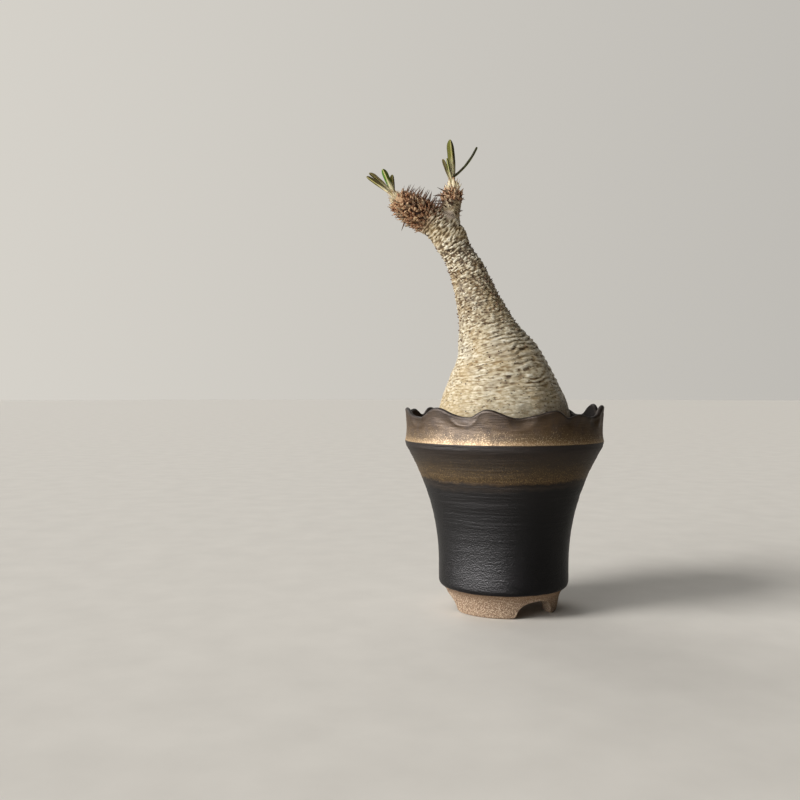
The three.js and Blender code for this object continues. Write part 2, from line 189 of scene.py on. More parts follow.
# %% Helpers for materials
class Finish:
    """A material and its node tree, with one method for each kind of node."""

    def __init__(self, name, roughness=0.6, specular=0.5):
        self.material = bpy.data.materials.new(name)
        self.material.use_nodes = True
        self.tree = self.material.node_tree
        self.shader = self.tree.nodes["Principled BSDF"]
        self.shader.inputs["Roughness"].default_value = roughness
        self.shader.inputs["Specular IOR Level"].default_value = specular

    def add(self, kind, sockets=(), **settings):
        return add_node(self.tree, kind, sockets, **settings)

    def place(self, stretch=(1, 1, 1), shift=(0, 0, 0)):
        """The object's own coordinates, stretched and moved."""
        where = self.add("ShaderNodeTexCoord").outputs["Object"]
        sockets = {"Vector": where, "Location": shift, "Scale": stretch}
        return self.add("ShaderNodeMapping", sockets).outputs[0]

    def value_of(self, attribute):
        """What a piece remembers at each vertex under this name."""
        return self.add("ShaderNodeAttribute", attribute_name=attribute).outputs["Fac"]

    def noise(self, where, scale, detail, roughness=0.5):
        sockets = {"Vector": where, "Scale": scale, "Detail": detail, "Roughness": roughness}
        return self.add("ShaderNodeTexNoise", sockets).outputs[0]

    def cells(self, where, scale, feature="F1", output="Distance"):
        sockets = {"Vector": where, "Scale": scale}
        return self.add("ShaderNodeTexVoronoi", sockets, feature=feature).outputs[output]

    def maths(self, operation, first, second=0.0, third=0.0):
        sockets = {0: first, 1: second, 2: third}
        return self.add("ShaderNodeMath", sockets, operation=operation).outputs[0]

    def times(self, first, second):
        return self.maths("MULTIPLY", first, second)

    def scaled(self, value, factor, added):
        return self.maths("MULTIPLY_ADD", value, factor, added)

    def swayed(self, value, pattern, reach):
        """The value, moved up and down by a pattern that runs from 0 to 1."""
        return self.maths("ADD", value, self.scaled(pattern, reach, -reach / 2))

    def band(self, value, low, high, start=0.0, end=1.0):
        return map_range(self.tree, value, low, high, start, end)

    def ramp(self, value, stops, sharp=False):
        """Colours by value: stops are pairs of a position and a colour."""
        made = self.add("ShaderNodeValToRGB", {"Fac": value})
        elements = made.color_ramp.elements
        made.color_ramp.interpolation = "CONSTANT" if sharp else "LINEAR"
        while len(elements) < len(stops):
            elements.new(1.0)
        for element, (position, tint) in zip(elements, stops):
            element.position = position
            element.color = paint(tint)
        return made.outputs[0]

    def mix(self, share, first, second):
        return mix_colours(self.tree, share, first, second)

    def bump(self, height, distance, strength, under=None):
        sockets = {"Height": height, "Distance": distance, "Strength": strength}
        if under is not None:
            sockets["Normal"] = under
        return self.add("ShaderNodeBump", sockets).outputs[0]

    def connect(self, **sockets):
        """Links the shader's inputs, with _ for a space in their names."""
        for name, value in sockets.items():
            self.tree.links.new(value, self.shader.inputs[name.replace("_", " ")])
        return self.material


floor_paint = Finish("pale_floor", roughness=0.85)
speckle = floor_paint.noise(floor_paint.place(), 30, 3)
floor_tint = floor_paint.ramp(speckle, [(0.3, (210, 207, 201)), (0.7, (216, 213, 207))])
studio_floor.data.materials.append(floor_paint.connect(Base_Color=floor_tint))
print("floor finish:", floor_paint.material.name)

# %% [markdown]
# ## The pot's shape
# The real pot was thrown on a wheel, and its rim pinched while the clay was soft. The model
# follows the same order. A chain of points is extruded along the wall's section, from the foot
# up over the lip and down inside, and a spin turns it into a closed body. A lathed body could
# also come from a Screw modifier, but the spin gives every column its own vertices at once,
# ready for the pinching.


# %% Helpers for smooth shapes
CURVE_STEPS = 20  # straight steps between two points of a smooth path


def smoothstep(low, high, value):
    share = min(1, max(0, (value - low) / (high - low)))
    return share * share * (3 - 2 * share)


def mixed(first, second, share):
    return first + (second - first) * share


def ripple(place, size, shift=(0, 0, 0)):
    """Smooth noise between about -1 and 1, with waves of about the given size."""
    return noise.noise(place / size + Vector(shift))


def smooth_path(points, spacing):
    """Vectors at an even spacing on a smooth curve through the given points."""
    knots = [Vector(point) for point in points]
    fine = [knots[0]]
    for i in range(len(knots) - 1):
        before = knots[max(i - 1, 0)]
        start, end = knots[i], knots[i + 1]
        after = knots[min(i + 2, len(knots) - 1)]
        for step in range(1, CURVE_STEPS + 1):
            t = step / CURVE_STEPS
            curve = 2 * start + (end - before) * t
            curve += (2 * before - 5 * start + 4 * end - after) * t**2
            curve += (3 * start - before - 3 * end + after) * t**3
            fine.append(curve / 2)
    lengths = [0]
    for one, two in zip(fine, fine[1:]):
        lengths.append(lengths[-1] + (two - one).length)
    count = max(1, round(lengths[-1] / spacing))
    path, at = [], 0
    for step in range(count + 1):
        goal = lengths[-1] * step / count
        while at < len(fine) - 2 and lengths[at + 1] < goal:
            at += 1
        gap = lengths[at + 1] - lengths[at]
        share = (goal - lengths[at]) / gap if gap else 0
        path.append(fine[at].lerp(fine[at + 1], min(1, share)))
    return path


print("points on a short smooth path:", len(smooth_path([(0, 0), (6, 2), (8, 8)], 1)))

# %% Helpers for turned pieces
MERGE_DISTANCE = 1e-7  # metres


def pick(*pieces):
    """Selects these pieces alone and makes the first one active."""
    bpy.ops.object.select_all(action="DESELECT")
    for piece in pieces:
        piece.select_set(True)
    bpy.context.view_layer.objects.active = pieces[0]


def spun(name, profile, columns, closed=False):
    """Draws a profile of (radius, height) in metres as a chain of vertices and spins it round Z."""
    bpy.ops.object.select_all(action="DESELECT")
    bpy.ops.mesh.primitive_plane_add(size=0.001)
    made = bpy.context.object
    made.name = name
    bpy.ops.object.mode_set(mode="EDIT")
    bpy.ops.mesh.select_all(action="SELECT")
    bpy.ops.mesh.merge(type="CENTER")
    first = Vector((profile[0][0], 0, profile[0][1]))
    bpy.ops.transform.translate(value=first)
    for (r1, z1), (r2, z2) in zip(profile, profile[1:]):
        step = {"value": (r2 - r1, 0, z2 - z1)}
        bpy.ops.mesh.extrude_vertices_move(TRANSFORM_OT_translate=step)
    bpy.ops.mesh.select_all(action="SELECT")
    if closed:
        bpy.ops.mesh.remove_doubles(threshold=MERGE_DISTANCE)
    bpy.ops.mesh.spin(steps=columns, angle=math.tau, center=(0, 0, 0), axis=(0, 0, 1))
    bpy.ops.mesh.select_all(action="SELECT")
    bpy.ops.mesh.remove_doubles(threshold=MERGE_DISTANCE)
    bpy.ops.mesh.normals_make_consistent(inside=False)
    bpy.ops.object.mode_set(mode="OBJECT")
    return made


def store(mesh, name, values):
    """Keeps one number per vertex, which a material can read by name."""
    layer = mesh.attributes.new(name, "FLOAT", "POINT")
    layer.data.foreach_set("value", values)


# %% The section of the wall
POT_COLUMNS = 300
WALL_TOP_Z = 107
WALL_LOW_RADIUS = 42.5
WALL_THICKNESS = 4.6
FLARE_FROM_Z = 28
FLARE_WIDTH = 21.6
FLARE_POWER = 2.1


def wall_radius(z):
    """The outside of the flared wall at a height, in millimetres."""
    share = max(0, (z - FLARE_FROM_Z) / (WALL_TOP_Z - FLARE_FROM_Z))
    return WALL_LOW_RADIUS + FLARE_WIDTH * share**FLARE_POWER


FOOT_OUTSIDE = [
    (33.9, 0), (34.8, 0.3), (35.25, 1.1), (35.6, 3), (36.1, 6), (36.8, 9.3), (37.7, 11.6),
    (38.9, 13.4), (40.4, 14.9), (41.6, 16.1), (42.25, 17.4), (42.5, 19),
]
COLLAR = [
    (wall_radius(WALL_TOP_Z), WALL_TOP_Z), (64.75, 109.5), (65, 110.8), (64.7, 112.1),
    (64.2, 114.2), (63.7, 117.5), (63.4, 121), (63.5, 124), (63.85, 125.7),
]
LIP_MIDDLE = (62.35, 125.7)
LIP_RADIUS = 1.5
INSIDE_TOP = [(60.85, 125.7), (60, 123.7), (59.2, 121.5), (58.85, 119), (59.1, 116)]
INSIDE = [(wall_radius(z) - WALL_THICKNESS, z) for z in (109, 95, 76, 54, 27)]
FLOOR_AND_DRAIN = [(35.9, 20), (22, 20), (9.6, 20), (9, 19.4), (9, 13.1), (9.6, 12.5), (20, 12.5)]
FOOT_INSIDE = [
    (27.2, 12.5), (27.9, 11.8), (28, 9), (28, 6), (28, 3), (28.1, 1.2), (28.7, 0.3), (29.6, 0),
]
FOOT_BOTTOM = [(31, 0), (32.5, 0), (33.9, 0)]

body = [(wall_radius(z), z) for z in range(19, WALL_TOP_Z + 1, 4)]
lip_steps = [math.radians(angle) for angle in range(20, 180, 20)]
lip = [
    (LIP_MIDDLE[0] + LIP_RADIUS * math.cos(a), LIP_MIDDLE[1] + LIP_RADIUS * math.sin(a))
    for a in lip_steps
]
profile = smooth_path(FOOT_OUTSIDE, 0.42) + smooth_path(body, 0.62)[1:]
profile += smooth_path(COLLAR, 0.46)[1:] + lip
profile += smooth_path(INSIDE_TOP, 0.8) + INSIDE + FLOOR_AND_DRAIN
profile += smooth_path(FOOT_INSIDE, 1.0) + FOOT_BOTTOM
pot = spun("glazed_pot", [(r * MM, z * MM) for r, z in profile], POT_COLUMNS, closed=True)
print("profile points:", len(profile), "faces:", len(pot.data.polygons))

# %% [markdown]
# ## Pinching the rim and cutting the feet
# The potter pulled the soft rim up into about a dozen uneven crests, pressed a thumb under some
# of the valleys, and cut three low arches out of the foot ring. Here each vertex is moved by
# its azimuth and height, which keeps the lip round along every wave and the cut edges of the
# arches soft. The glaze is a real layer: it stands a third of a millimetre proud and ends in
# an uneven line above the bare foot. Fine throwing lines run round the wall.

# %% Crests, thumb marks, arches and glaze edge
RIDGE_Z = 110.6
RIM_Z = 127.2
RIM_LEAN = 1.6
RIM_CRESTS = [  # azimuth from the front towards the right, rise, left slope, right slope
    (-88, 5.3, 22, 22), (-46.3, 6, 15, 20), (-15.5, 5.1, 11, 16), (22.7, 4.5, 21, 9),
    (40, 2.2, 9, 12), (72, 7.1, 15, 13), (102, 7.5, 14, 13), (132, 4.6, 15, 16),
    (167, 5.2, 16, 18), (201, 4.6, 15, 14), (228, 4.7, 12, 9), (248, 4, 9, 22),
]
HIGHEST_CREST = max(crest[1] for crest in RIM_CRESTS)
THUMB_MARKS = [  # azimuth, height, half width and half height in mm, depth
    (-29, 125.6, 8.5, 3.6, 1.5), (-66, 125.5, 9, 4.5, 1.2), (3, 125, 9, 4.5, 1.0),
    (34, 124.5, 6, 4, 0.9), (56, 124.5, 7, 5, 1.2), (87, 125, 6, 5, 1.0), (-46, 119, 7, 3, -0.5),
    (118, 125, 8, 4, 1.2), (150, 125, 8, 4, 1.0), (185, 125, 9, 4, 1.2), (214, 125, 7, 4, 1.0),
]
COLLAR_RADIUS = 63
ARCHES = [(29, 13.4), (150, 14.4), (268, 17.2)]  # azimuth, half width at the floor
ARCH_HEIGHT = 10.8
ARCH_POWER = 2.3  # 2 is half an ellipse, and more is squarer
ARCH_REACH = 60  # degrees to each side
CORNER_LIFT = 2.0  # rounds the lower corners of the feet
RING_INSIDE = 27
RING_OUTSIDE = 33.8
UNDERSIDE_Z = 12.5
FOOT_TOP_Z = 17
OUTER_SKIN = 3  # what lies less than this under the outer face belongs to it
ABOVE_FLOOR_Z = 30  # above the pot's floor, and above the drip of glaze
GLAZE_EDGE_Z = 15.7
GLAZE_THICKNESS = 0.34
DRIP_THICKNESS = 0.3
DRIP = [  # azimuth and height along a thick run of glaze, and its half width
    (-7.5, 25.6, 0.7), (-3.5, 24.4, 1.1), (0.5, 21.6, 1.7), (5, 20.2, 1.5), (10, 18, 2.1),
    (15, 17.2, 1.2),
]
DRIP_MM_PER_DEGREE = 0.74


def turn_between(first, second):
    """The angle from the second azimuth to the first, between -180 and 180 degrees."""
    return (first - second + 540) % 360 - 180


def rim_rise(azimuth):
    """How far the crests lift the rim."""
    rise = 0
    for at, high, left, right in RIM_CRESTS:
        off = turn_between(azimuth, at)
        share = min(1, abs(off) / (left if off < 0 else right))
        rise = max(rise, high * (0.5 + 0.5 * math.cos(math.pi * share)))
    return rise


def thumb_mark(azimuth, z):
    """How far the wall is pressed in: a hollow with a low swollen border."""
    press = 0
    for at, height, wide, tall, depth in THUMB_MARKS:
        across = turn_between(azimuth, at) * math.radians(1) * COLLAR_RADIUS / wide
        far = math.hypot(across, (z - height) / tall)
        if far < 2:
            press -= depth * max(0, 1 - far * far) ** 2
            press += 0.32 * depth * math.exp(-(((far - 1.12) / 0.3) ** 2))
    return press


def arch_height(azimuth, radius):
    """The height of the opening over one place on the foot ring."""
    high = 0
    for at, half_floor in ARCHES:
        off = turn_between(azimuth, at)
        if abs(off) < ARCH_REACH:
            across = radius * math.sin(math.radians(abs(off))) / half_floor
            if across < 1:
                high = max(high, ARCH_HEIGHT * (1 - across**ARCH_POWER) ** (1 / ARCH_POWER))
            high = max(high, CORNER_LIFT * (1 - smoothstep(0.9, 1.22, across)))
    return high


def foot_radius(z):
    """The outside of the foot at a height, in millimetres."""
    for (r1, z1), (r2, z2) in zip(FOOT_OUTSIDE, FOOT_OUTSIDE[1:]):
        if z <= z2:
            return mixed(r1, r2, (z - z1) / (z2 - z1))
    return FOOT_OUTSIDE[-1][0]


def drip_share(azimuth, z):
    """1 in the middle of the run of glaze, falling to 0 beside it."""
    best = 0
    for (a1, z1, w1), (a2, z2, w2) in zip(DRIP, DRIP[1:]):
        start = Vector((a1 * DRIP_MM_PER_DEGREE, z1))
        along = Vector((a2 * DRIP_MM_PER_DEGREE, z2)) - start
        here = Vector((azimuth * DRIP_MM_PER_DEGREE, z)) - start
        share = min(1, max(0, here.dot(along) / along.length_squared))
        far = (here - along * share).length / mixed(w1, w2, share)
        best = max(best, 1 - smoothstep(0.3, 1.3, far))
    return best


def on_outside(radius, z):
    """Whether a vertex, as it was turned, lies on the outer face of the pot."""
    on_foot = z < FOOT_TOP_Z and radius > RING_OUTSIDE
    return on_foot or radius > wall_radius(min(z, WALL_TOP_Z)) - OUTER_SKIN


print("the crests rise by", [round(rim_rise(crest[0]), 1) for crest in RIM_CRESTS], "mm")

# %% Move every vertex to its place
pot_data = {"turned_height": [], "glaze": [], "lip": [], "drip": [], "inside": []}
for vertex in pot.data.vertices:
    radius = math.hypot(vertex.co.x, vertex.co.y) / MM
    z = vertex.co.z / MM
    azimuth = math.degrees(math.atan2(vertex.co.x, -vertex.co.y))
    turn = math.radians(azimuth)
    around = Vector((math.sin(turn), math.cos(turn), 0))
    outside = on_outside(radius, z)
    edge = GLAZE_EDGE_Z + 0.5 * noise.noise(around * 2.2) + 0.25 * noise.noise(around * 9)
    glazed = smoothstep(edge - 0.3, edge + 0.3, z) if outside or z > ABOVE_FLOOR_Z else 0
    drip = drip_share(azimuth, z) if outside and 14 < z < ABOVE_FLOOR_Z else 0
    pot_data["turned_height"].append(z * MM)
    pot_data["glaze"].append(glazed)
    pot_data["lip"].append(smoothstep(126.2, 127.0, z))
    pot_data["drip"].append(drip)
    pot_data["inside"].append(0 if outside or z < ABOVE_FLOOR_Z else 1)
    if outside:
        lines = noise.noise(around * 1.1 + Vector((0, 0, z / 1.5))) * 0.16
        lines += noise.noise(around * 0.7 + Vector((7, 0, z / 4.2))) * 0.22
        lines *= (0.25 + 0.75 * smoothstep(40, 78, z)) * (1 - 0.5 * smoothstep(109, 112, z))
        radius += glazed * (GLAZE_THICKNESS + lines) + DRIP_THICKNESS * drip
    if z > RIDGE_Z:
        share = smoothstep(RIDGE_Z, RIM_Z, z)
        rise = rim_rise(azimuth)
        radius += share * (RIM_LEAN * rise / HIGHEST_CREST + thumb_mark(azimuth, z))
        radius += share * 0.7 * noise.noise(around * 3 + Vector((0, 0, z / 9)))
        z += share * (rise + 0.5 * noise.noise(around * 6 + Vector((3, 0, 0))))
    if z < UNDERSIDE_Z and radius > RING_INSIDE:
        raised = z + (1 - z / UNDERSIDE_Z) * arch_height(azimuth, radius)
        if radius > RING_OUTSIDE:
            radius += foot_radius(raised) - foot_radius(z)
        z = raised
    x, y = radius * math.sin(turn), -radius * math.cos(turn)
    vertex.co = Vector((AXIS_X + x * MM, y * MM, z * MM))
for name, values in pot_data.items():
    store(pot.data, name, values)
pick(pot)
bpy.ops.object.shade_smooth()
print("pot spans", [round(v / MM, 1) for v in pot.dimensions], "mm")

# %% [markdown]
# ## The glaze
# Three bands follow the wall. The collar over the ridge is a bronze brown with darker, greyer
# clouds, and gathers golden flecks just above the ridge. Under it the glaze is brown and turns
# to a speckled gold that ends in a wavy edge, a dark line with a slightly paler one below it.
# From there down the pot is a satin black with a leathery skin, and the foot is bare speckled
# clay. The bands read the height that each vertex had on the wheel, before the rim was
# pinched, so they follow the waves of the clay. A picture wrapped round the pot could paint
# the same bands, but it would blur in a close view.

# %% The tones of the bands
glaze = Finish("bronze_black_glaze", specular=0.1)
on_pot = glaze.place(shift=(-AXIS_X, 0, 0))
height = glaze.value_of("turned_height")
clouds = glaze.noise(on_pot, 45, 3)
patches = glaze.noise(on_pot, 150, 3)
grain = glaze.noise(on_pot, 1500, 2, 0.55)
fine_grain = glaze.noise(on_pot, 2900, 2, 0.5)
body_height = glaze.swayed(glaze.swayed(height, clouds, 0.007), patches, 0.005)
body_tone = glaze.ramp(
    glaze.band(body_height, 0, 0.125),
    [
        (0.0, (14, 13, 15)), (0.30, (13, 12, 13)), (0.50, (13, 12, 12)),
        (0.645, (20, 18, 17)), (0.672, (42, 35, 29)), (0.688, (28, 22, 17)),
        (0.705, (68, 52, 32)), (0.75, (66, 53, 36)), (0.79, (54, 45, 35)),
        (0.84, (46, 38, 32)), (0.87, (38, 32, 28)),
    ],
)
collar_tone = glaze.ramp(
    glaze.band(height, 0.110, 0.130),
    [
        (0.0, (160, 134, 98)), (0.08, (124, 100, 68)), (0.20, (90, 72, 48)),
        (0.45, (76, 59, 39)), (0.7, (64, 50, 35)), (0.95, (40, 32, 26)),
    ],
)
grey_share = glaze.band(patches, 0.48, 0.68, 0, 0.4)
clouded_collar = glaze.mix(grey_share, collar_tone, (48, 41, 41))
over_ridge = glaze.band(height, 0.1105, 0.1111)
tone = glaze.mix(over_ridge, body_tone, clouded_collar)
print("nodes for the bands:", len(glaze.tree.nodes))

# %% Golden flecks, dark specks, the darker lip and inside, and the thick run
fleck_share = glaze.ramp(
    glaze.band(height, 0.075, 0.130),
    [
        (0.0, 0), (0.19, 0), (0.24, 0.85), (0.32, 0.6), (0.44, 0.2), (0.56, 0),
        (0.645, 0), (0.655, 1), (0.70, 0.6), (0.80, 0.12), (0.86, 0),
    ],
)
threshold = glaze.scaled(fleck_share, -0.22, 0.66)
over = glaze.maths("SUBTRACT", grain, threshold)
flecks = glaze.times(glaze.band(over, 0.0, 0.12), glaze.band(fleck_share, 0.0, 0.15))
gold = glaze.mix(over_ridge, (122, 100, 64), (178, 156, 124))
tone = glaze.mix(glaze.times(flecks, 0.6), tone, gold)
dark_specks = glaze.band(fine_grain, 0.42, 0.32)
tone = glaze.mix(glaze.times(dark_specks, 0.6), tone, (20, 16, 14))
tone = glaze.mix(glaze.times(glaze.value_of("lip"), 0.75), tone, (24, 19, 17))
inside = glaze.value_of("inside")
tone = glaze.mix(glaze.times(inside, 0.9), tone, (30, 22, 18))
tone = glaze.mix(glaze.times(glaze.value_of("drip"), 0.8), tone, (6, 6, 7))
print("nodes with the flecks:", len(glaze.tree.nodes))

# %% The bare clay, and the thin dark line where the glaze ends
clay_stops = [(0.34, (108, 87, 69)), (0.5, (148, 123, 99)), (0.66, (204, 184, 160))]
clay = glaze.ramp(grain, clay_stops)
clay = glaze.mix(glaze.band(fine_grain, 0.60, 0.66, 0, 0.8), clay, (86, 64, 48))
clay = glaze.mix(glaze.band(patches, 0.5, 0.75, 0, 0.4), clay, (128, 104, 82))
clay = glaze.mix(glaze.band(height, 0.008, 0.015, 0, 0.55), clay, (116, 90, 66))
coat = glaze.value_of("glaze")
edge_line = glaze.times(glaze.band(coat, 0.15, 0.45), glaze.band(coat, 0.98, 0.6))
surface = glaze.mix(glaze.band(coat, 0.35, 0.6), clay, tone)
surface = glaze.mix(glaze.times(edge_line, 0.5), surface, (70, 54, 42))
print("nodes with the clay:", len(glaze.tree.nodes))

# %% Gloss and skin of the glaze
LINES_ROUND, LINES_UP = 95, 800  # throwing lines per metre round the pot and up it

# Satin low on the wall, duller above, and a metallic lustre in the gold
low_wall = glaze.band(height, 0.085, 0.030)
high_gloss = glaze.band(fine_grain, 0.3, 0.7, 0.46, 0.58)
gloss = glaze.mix(low_wall, high_gloss, glaze.band(fine_grain, 0.3, 0.7, 0.34, 0.44))
gloss = glaze.mix(over_ridge, gloss, glaze.band(patches, 0.3, 0.7, 0.4, 0.62))
gloss = glaze.mix(inside, gloss, 1)
gloss = glaze.mix(coat, 0.9, gloss)
lustre = glaze.scaled(over_ridge, 0.05, glaze.times(flecks, 0.11))
lustre = glaze.times(lustre, glaze.maths("SUBTRACT", coat, inside))

# Leathery low on the wall, with lines round it above
leathery = glaze.band(height, 0.085, 0.035, 0.15, 1.0)
crawl = glaze.times(glaze.cells(on_pot, 1250, feature="SMOOTH_F1"), leathery)
drawn_out = glaze.place(
    stretch=(LINES_ROUND, LINES_ROUND, LINES_UP), shift=(-AXIS_X * LINES_ROUND, 0, 0)
)
around_lines = glaze.noise(drawn_out, 1, 3)
skin = glaze.bump(around_lines, 0.0005, glaze.band(height, 0.04, 0.08, 0.15, 0.5))
skin = glaze.bump(crawl, 0.0004, 0.55, under=skin)
skin = glaze.bump(grain, 0.0003, 0.4, under=skin)
pot.data.materials.append(
    glaze.connect(Base_Color=surface, Roughness=gloss, Metallic=lustre, Normal=skin)
)
print("glaze nodes:", len(glaze.tree.nodes))

# %% The sheen lamp lights the pot alone
lit_by_sheen = bpy.data.collections.new("lit_by_sheen")
lit_by_sheen.objects.link(pot)
sheen_light.light_linking.receiver_collection = lit_by_sheen

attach(pot, "root")
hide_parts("pot")

# %% [markdown]
# ## Grit on the soil
# The soil is a mix of small stones: pale pumice, orange and brown baked clay, dark lava and
# charcoal. A turned bed fills the pot, and one rounded stone is modelled from a cube, copied
# several hundred times, and turned and stretched so that no two look alike. Particles could
# scatter the stones too, but copies of a mesh stay in the finished piece when it is exported.

# %% Bed and stones
SOIL_Z = 117.5
BED_INSET = 5.3  # the wall's thickness and a small gap
STONE_COUNT = 620
STONE_SIZES = (1.1, 1.3, 1.5, 1.7, 2.0, 2.3)  # half widths
STONE_RING = (44.5, 57)  # the radii between which the stones lie
STONES_END = 57.8  # no stone reaches past this radius
rng = random.Random(7)
bed_profile = [(0, 20.8), (15, 20.8), (28, 21), (35.4, 21)]
bed_profile += [(wall_radius(z) - BED_INSET, z) for z in (27, 54, 76, 95, 109)]
bed_profile += [(58, 115.4), (54, 116.2), (50, 116.4), (46, 116.2)]
bed_profile += [(41, 116.4), (20, 116.4), (0, 116.4)]
soil_bed = spun("soil_bed", [(r * MM, z * MM) for r, z in bed_profile], 72)
for vertex in soil_bed.data.vertices:
    if vertex.co.z > 110 * MM:
        vertex.co.z += 0.7 * MM * noise.noise(vertex.co * 190)
    vertex.co.x += AXIS_X

bpy.ops.object.select_all(action="DESELECT")
bpy.ops.mesh.primitive_cube_add(size=2)
stone = bpy.context.object
bpy.ops.object.mode_set(mode="EDIT")
bpy.ops.mesh.select_all(action="SELECT")
bpy.ops.mesh.subdivide(number_cuts=1, smoothness=0)
bpy.ops.transform.tosphere(value=0.72)
bpy.ops.object.mode_set(mode="OBJECT")


def gather(name, parts):
    """Joins parts into one piece."""
    pick(*parts)
    bpy.ops.object.join()
    parts[0].name = name
    return parts[0]


def copies_of(model, name, placings, attribute):
    """One piece made of copies of a model, each placed by a matrix and given one number."""
    made = []
    for matrix, number in placings:
        copy = model.copy()
        copy.data = model.data.copy()
        copy.data.transform(matrix)
        store(copy.data, attribute, [number] * len(copy.data.vertices))
        bpy.context.collection.objects.link(copy)
        made.append(copy)
    return gather(name, made)


def discard(model):
    """Removes a model once its copies are made."""
    bpy.data.objects.remove(model, do_unlink=True)


stone_places = []
while len(stone_places) < STONE_COUNT:
    turn = rng.uniform(0, math.tau)
    reach = math.sqrt(rng.uniform(STONE_RING[0] ** 2, STONE_RING[1] ** 2))
    size = rng.choice(STONE_SIZES)
    reach = min(reach, STONES_END - size)
    level = SOIL_Z - 0.4 + rng.uniform(-0.8, 1.0)
    spot = Vector((AXIS.x + reach * math.cos(turn), reach * math.sin(turn), level)) * MM
    shape = Matrix.Diagonal([size * rng.uniform(0.75, 1.2) * MM for _ in range(3)]).to_4x4()
    spin = Matrix.Rotation(rng.uniform(0, 6.3), 4, "X") @ Matrix.Rotation(rng.uniform(0, 6.3), 4, "Z")
    stone_places.append((Matrix.Translation(spot) @ spin @ shape, rng.random()))
soil_stones = copies_of(stone, "soil_stones", stone_places, "kind_of_stone")
discard(stone)
print("stones:", STONE_COUNT, "faces:", len(soil_stones.data.polygons))

# %% Finish of the grit
grit = Finish("mixed_grit", roughness=0.95)
on_grit = grit.place()
kinds = [
    (0.0, (168, 120, 72)), (0.28, (196, 176, 146)), (0.46, (110, 72, 50)),
    (0.62, (72, 48, 42)), (0.74, (44, 41, 40)), (0.84, (150, 142, 124)),
]
grit_tone = grit.ramp(grit.value_of("kind_of_stone"), kinds, sharp=True)
pores = grit.noise(on_grit, 1800, 3)
grit_tone = grit.mix(grit.band(pores, 0.42, 0.3), grit_tone, (52, 40, 32))
grit_tone = grit.mix(grit.band(pores, 0.6, 0.75, 0, 0.5), grit_tone, (214, 198, 170))
pits = grit.bump(pores, 0.0004, 0.6)
soil_stones.data.materials.append(grit.connect(Base_Color=grit_tone, Normal=pits))

earth = Finish("dark_fine_soil", roughness=0.97)
crumbs = earth.noise(earth.place(), 700, 4, 0.7)
earth_stops = [(0.35, (46, 34, 26)), (0.55, (86, 64, 46)), (0.7, (128, 100, 72))]
earth_tone = earth.ramp(crumbs, earth_stops)
crumbly = earth.bump(crumbs, 0.0008, 0.8)
soil_bed.data.materials.append(earth.connect(Base_Color=earth_tone, Normal=crumbly))
for piece in (soil_bed, soil_stones):
    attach(piece, "root")
    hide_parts("soil")
print("grit finishes:", grit.material.name, earth.material.name)

# %% [markdown]
# ## The net over the drain hole
# A plastic net keeps the grit in. It is hidden inside the pot, and its plain solid already has
# the right holes, so it only gets a finish: black plastic with a dusty bloom.

# %% Finish of the net
net_plastic = Finish("black_net_plastic")
dust = net_plastic.noise(net_plastic.place(), 500, 4)
net_tone = net_plastic.ramp(dust, [(0.35, (26, 27, 26)), (0.7, (62, 56, 48))])
net_gloss = net_plastic.band(dust, 0.3, 0.7, 0.4, 0.8)
net_material = net_plastic.connect(Base_Color=net_tone, Roughness=net_gloss)
drain_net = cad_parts["drain_net"]
for held in drain_net.material_slots:
    held.material = net_material
print("net slots:", len(drain_net.material_slots))

# %% [markdown]
# ## The caudex
# The stem swells out of the grit like a bottle, leans to the left as it narrows, and forks.
# Its shape is written as sections: the axis and the radius at about twenty heights. A straight
# tube is spun first, one ring of vertices for every half millimetre of bark, and each ring is
# then carried to its own section. The bark keeps the scars of old leaves: on the neck they
# are staggered knobs, with sunken tops on the right branch, and on the swollen part they have
# been drawn out into fine wrinkles and folds. Round the fork the knobs stretch into strokes,
# and the foot of the right branch has a smooth patch. Displacement textures could raise all
# this, but they would not follow the rows in which the leaves grew, so the rows are laid out
# in code.

# %% Sections of the three limbs
CAUDEX_ROOT = [(0, 0, 60, 3), (0, 0, 76, 13), (0, 0, 92, 27), (0, 0, 107, 38), (-0.5, 0, 116, 42.9)]
CAUDEX_STEM = [  # x, y and z of the axis from the pot's axis, and the radius
    (-0.5, 0, 116, 42.9), (-0.6, 0, 122, 43.8), (-0.9, 0, 131, 42.7), (-1.8, 0, 141, 39.6),
    (-2.9, -0.3, 152, 35.1), (-4.5, -0.5, 162, 30.4), (-7, -0.6, 171.5, 25.2),
    (-10, -0.6, 181, 20.5), (-13, -0.4, 191, 17.2), (-16.6, 0, 201.5, 14.5),
    (-20.4, 0.4, 213, 12.8), (-24.6, 0.6, 224, 11.4), (-30.4, 0.4, 234.5, 9.9),
    (-35.4, 0, 243.5, 10.4), (-37.8, 0, 250.5, 9), (-38.4, 0, 254.5, 2.5),
]
LEFT_BRANCH = [
    (-32.4, 0, 246, 7), (-39.4, -0.8, 250.4, 10), (-47.4, -2, 255.2, 9.6), (-55.2, -3.2, 259.6, 9),
    (-62.7, -4, 264, 8.5), (-68, -4.5, 267.6, 6.8), (-71.2, -4.8, 270.2, 4.2),
]
RIGHT_BRANCH = [
    (-36.4, 1, 246, 5), (-35.8, 1.8, 254, 6.2), (-35, 2.4, 261, 6.1), (-34.4, 2.8, 268, 6.4),
    (-34, 3, 274, 6.2), (-33.8, 3, 278.6, 3.6),
]


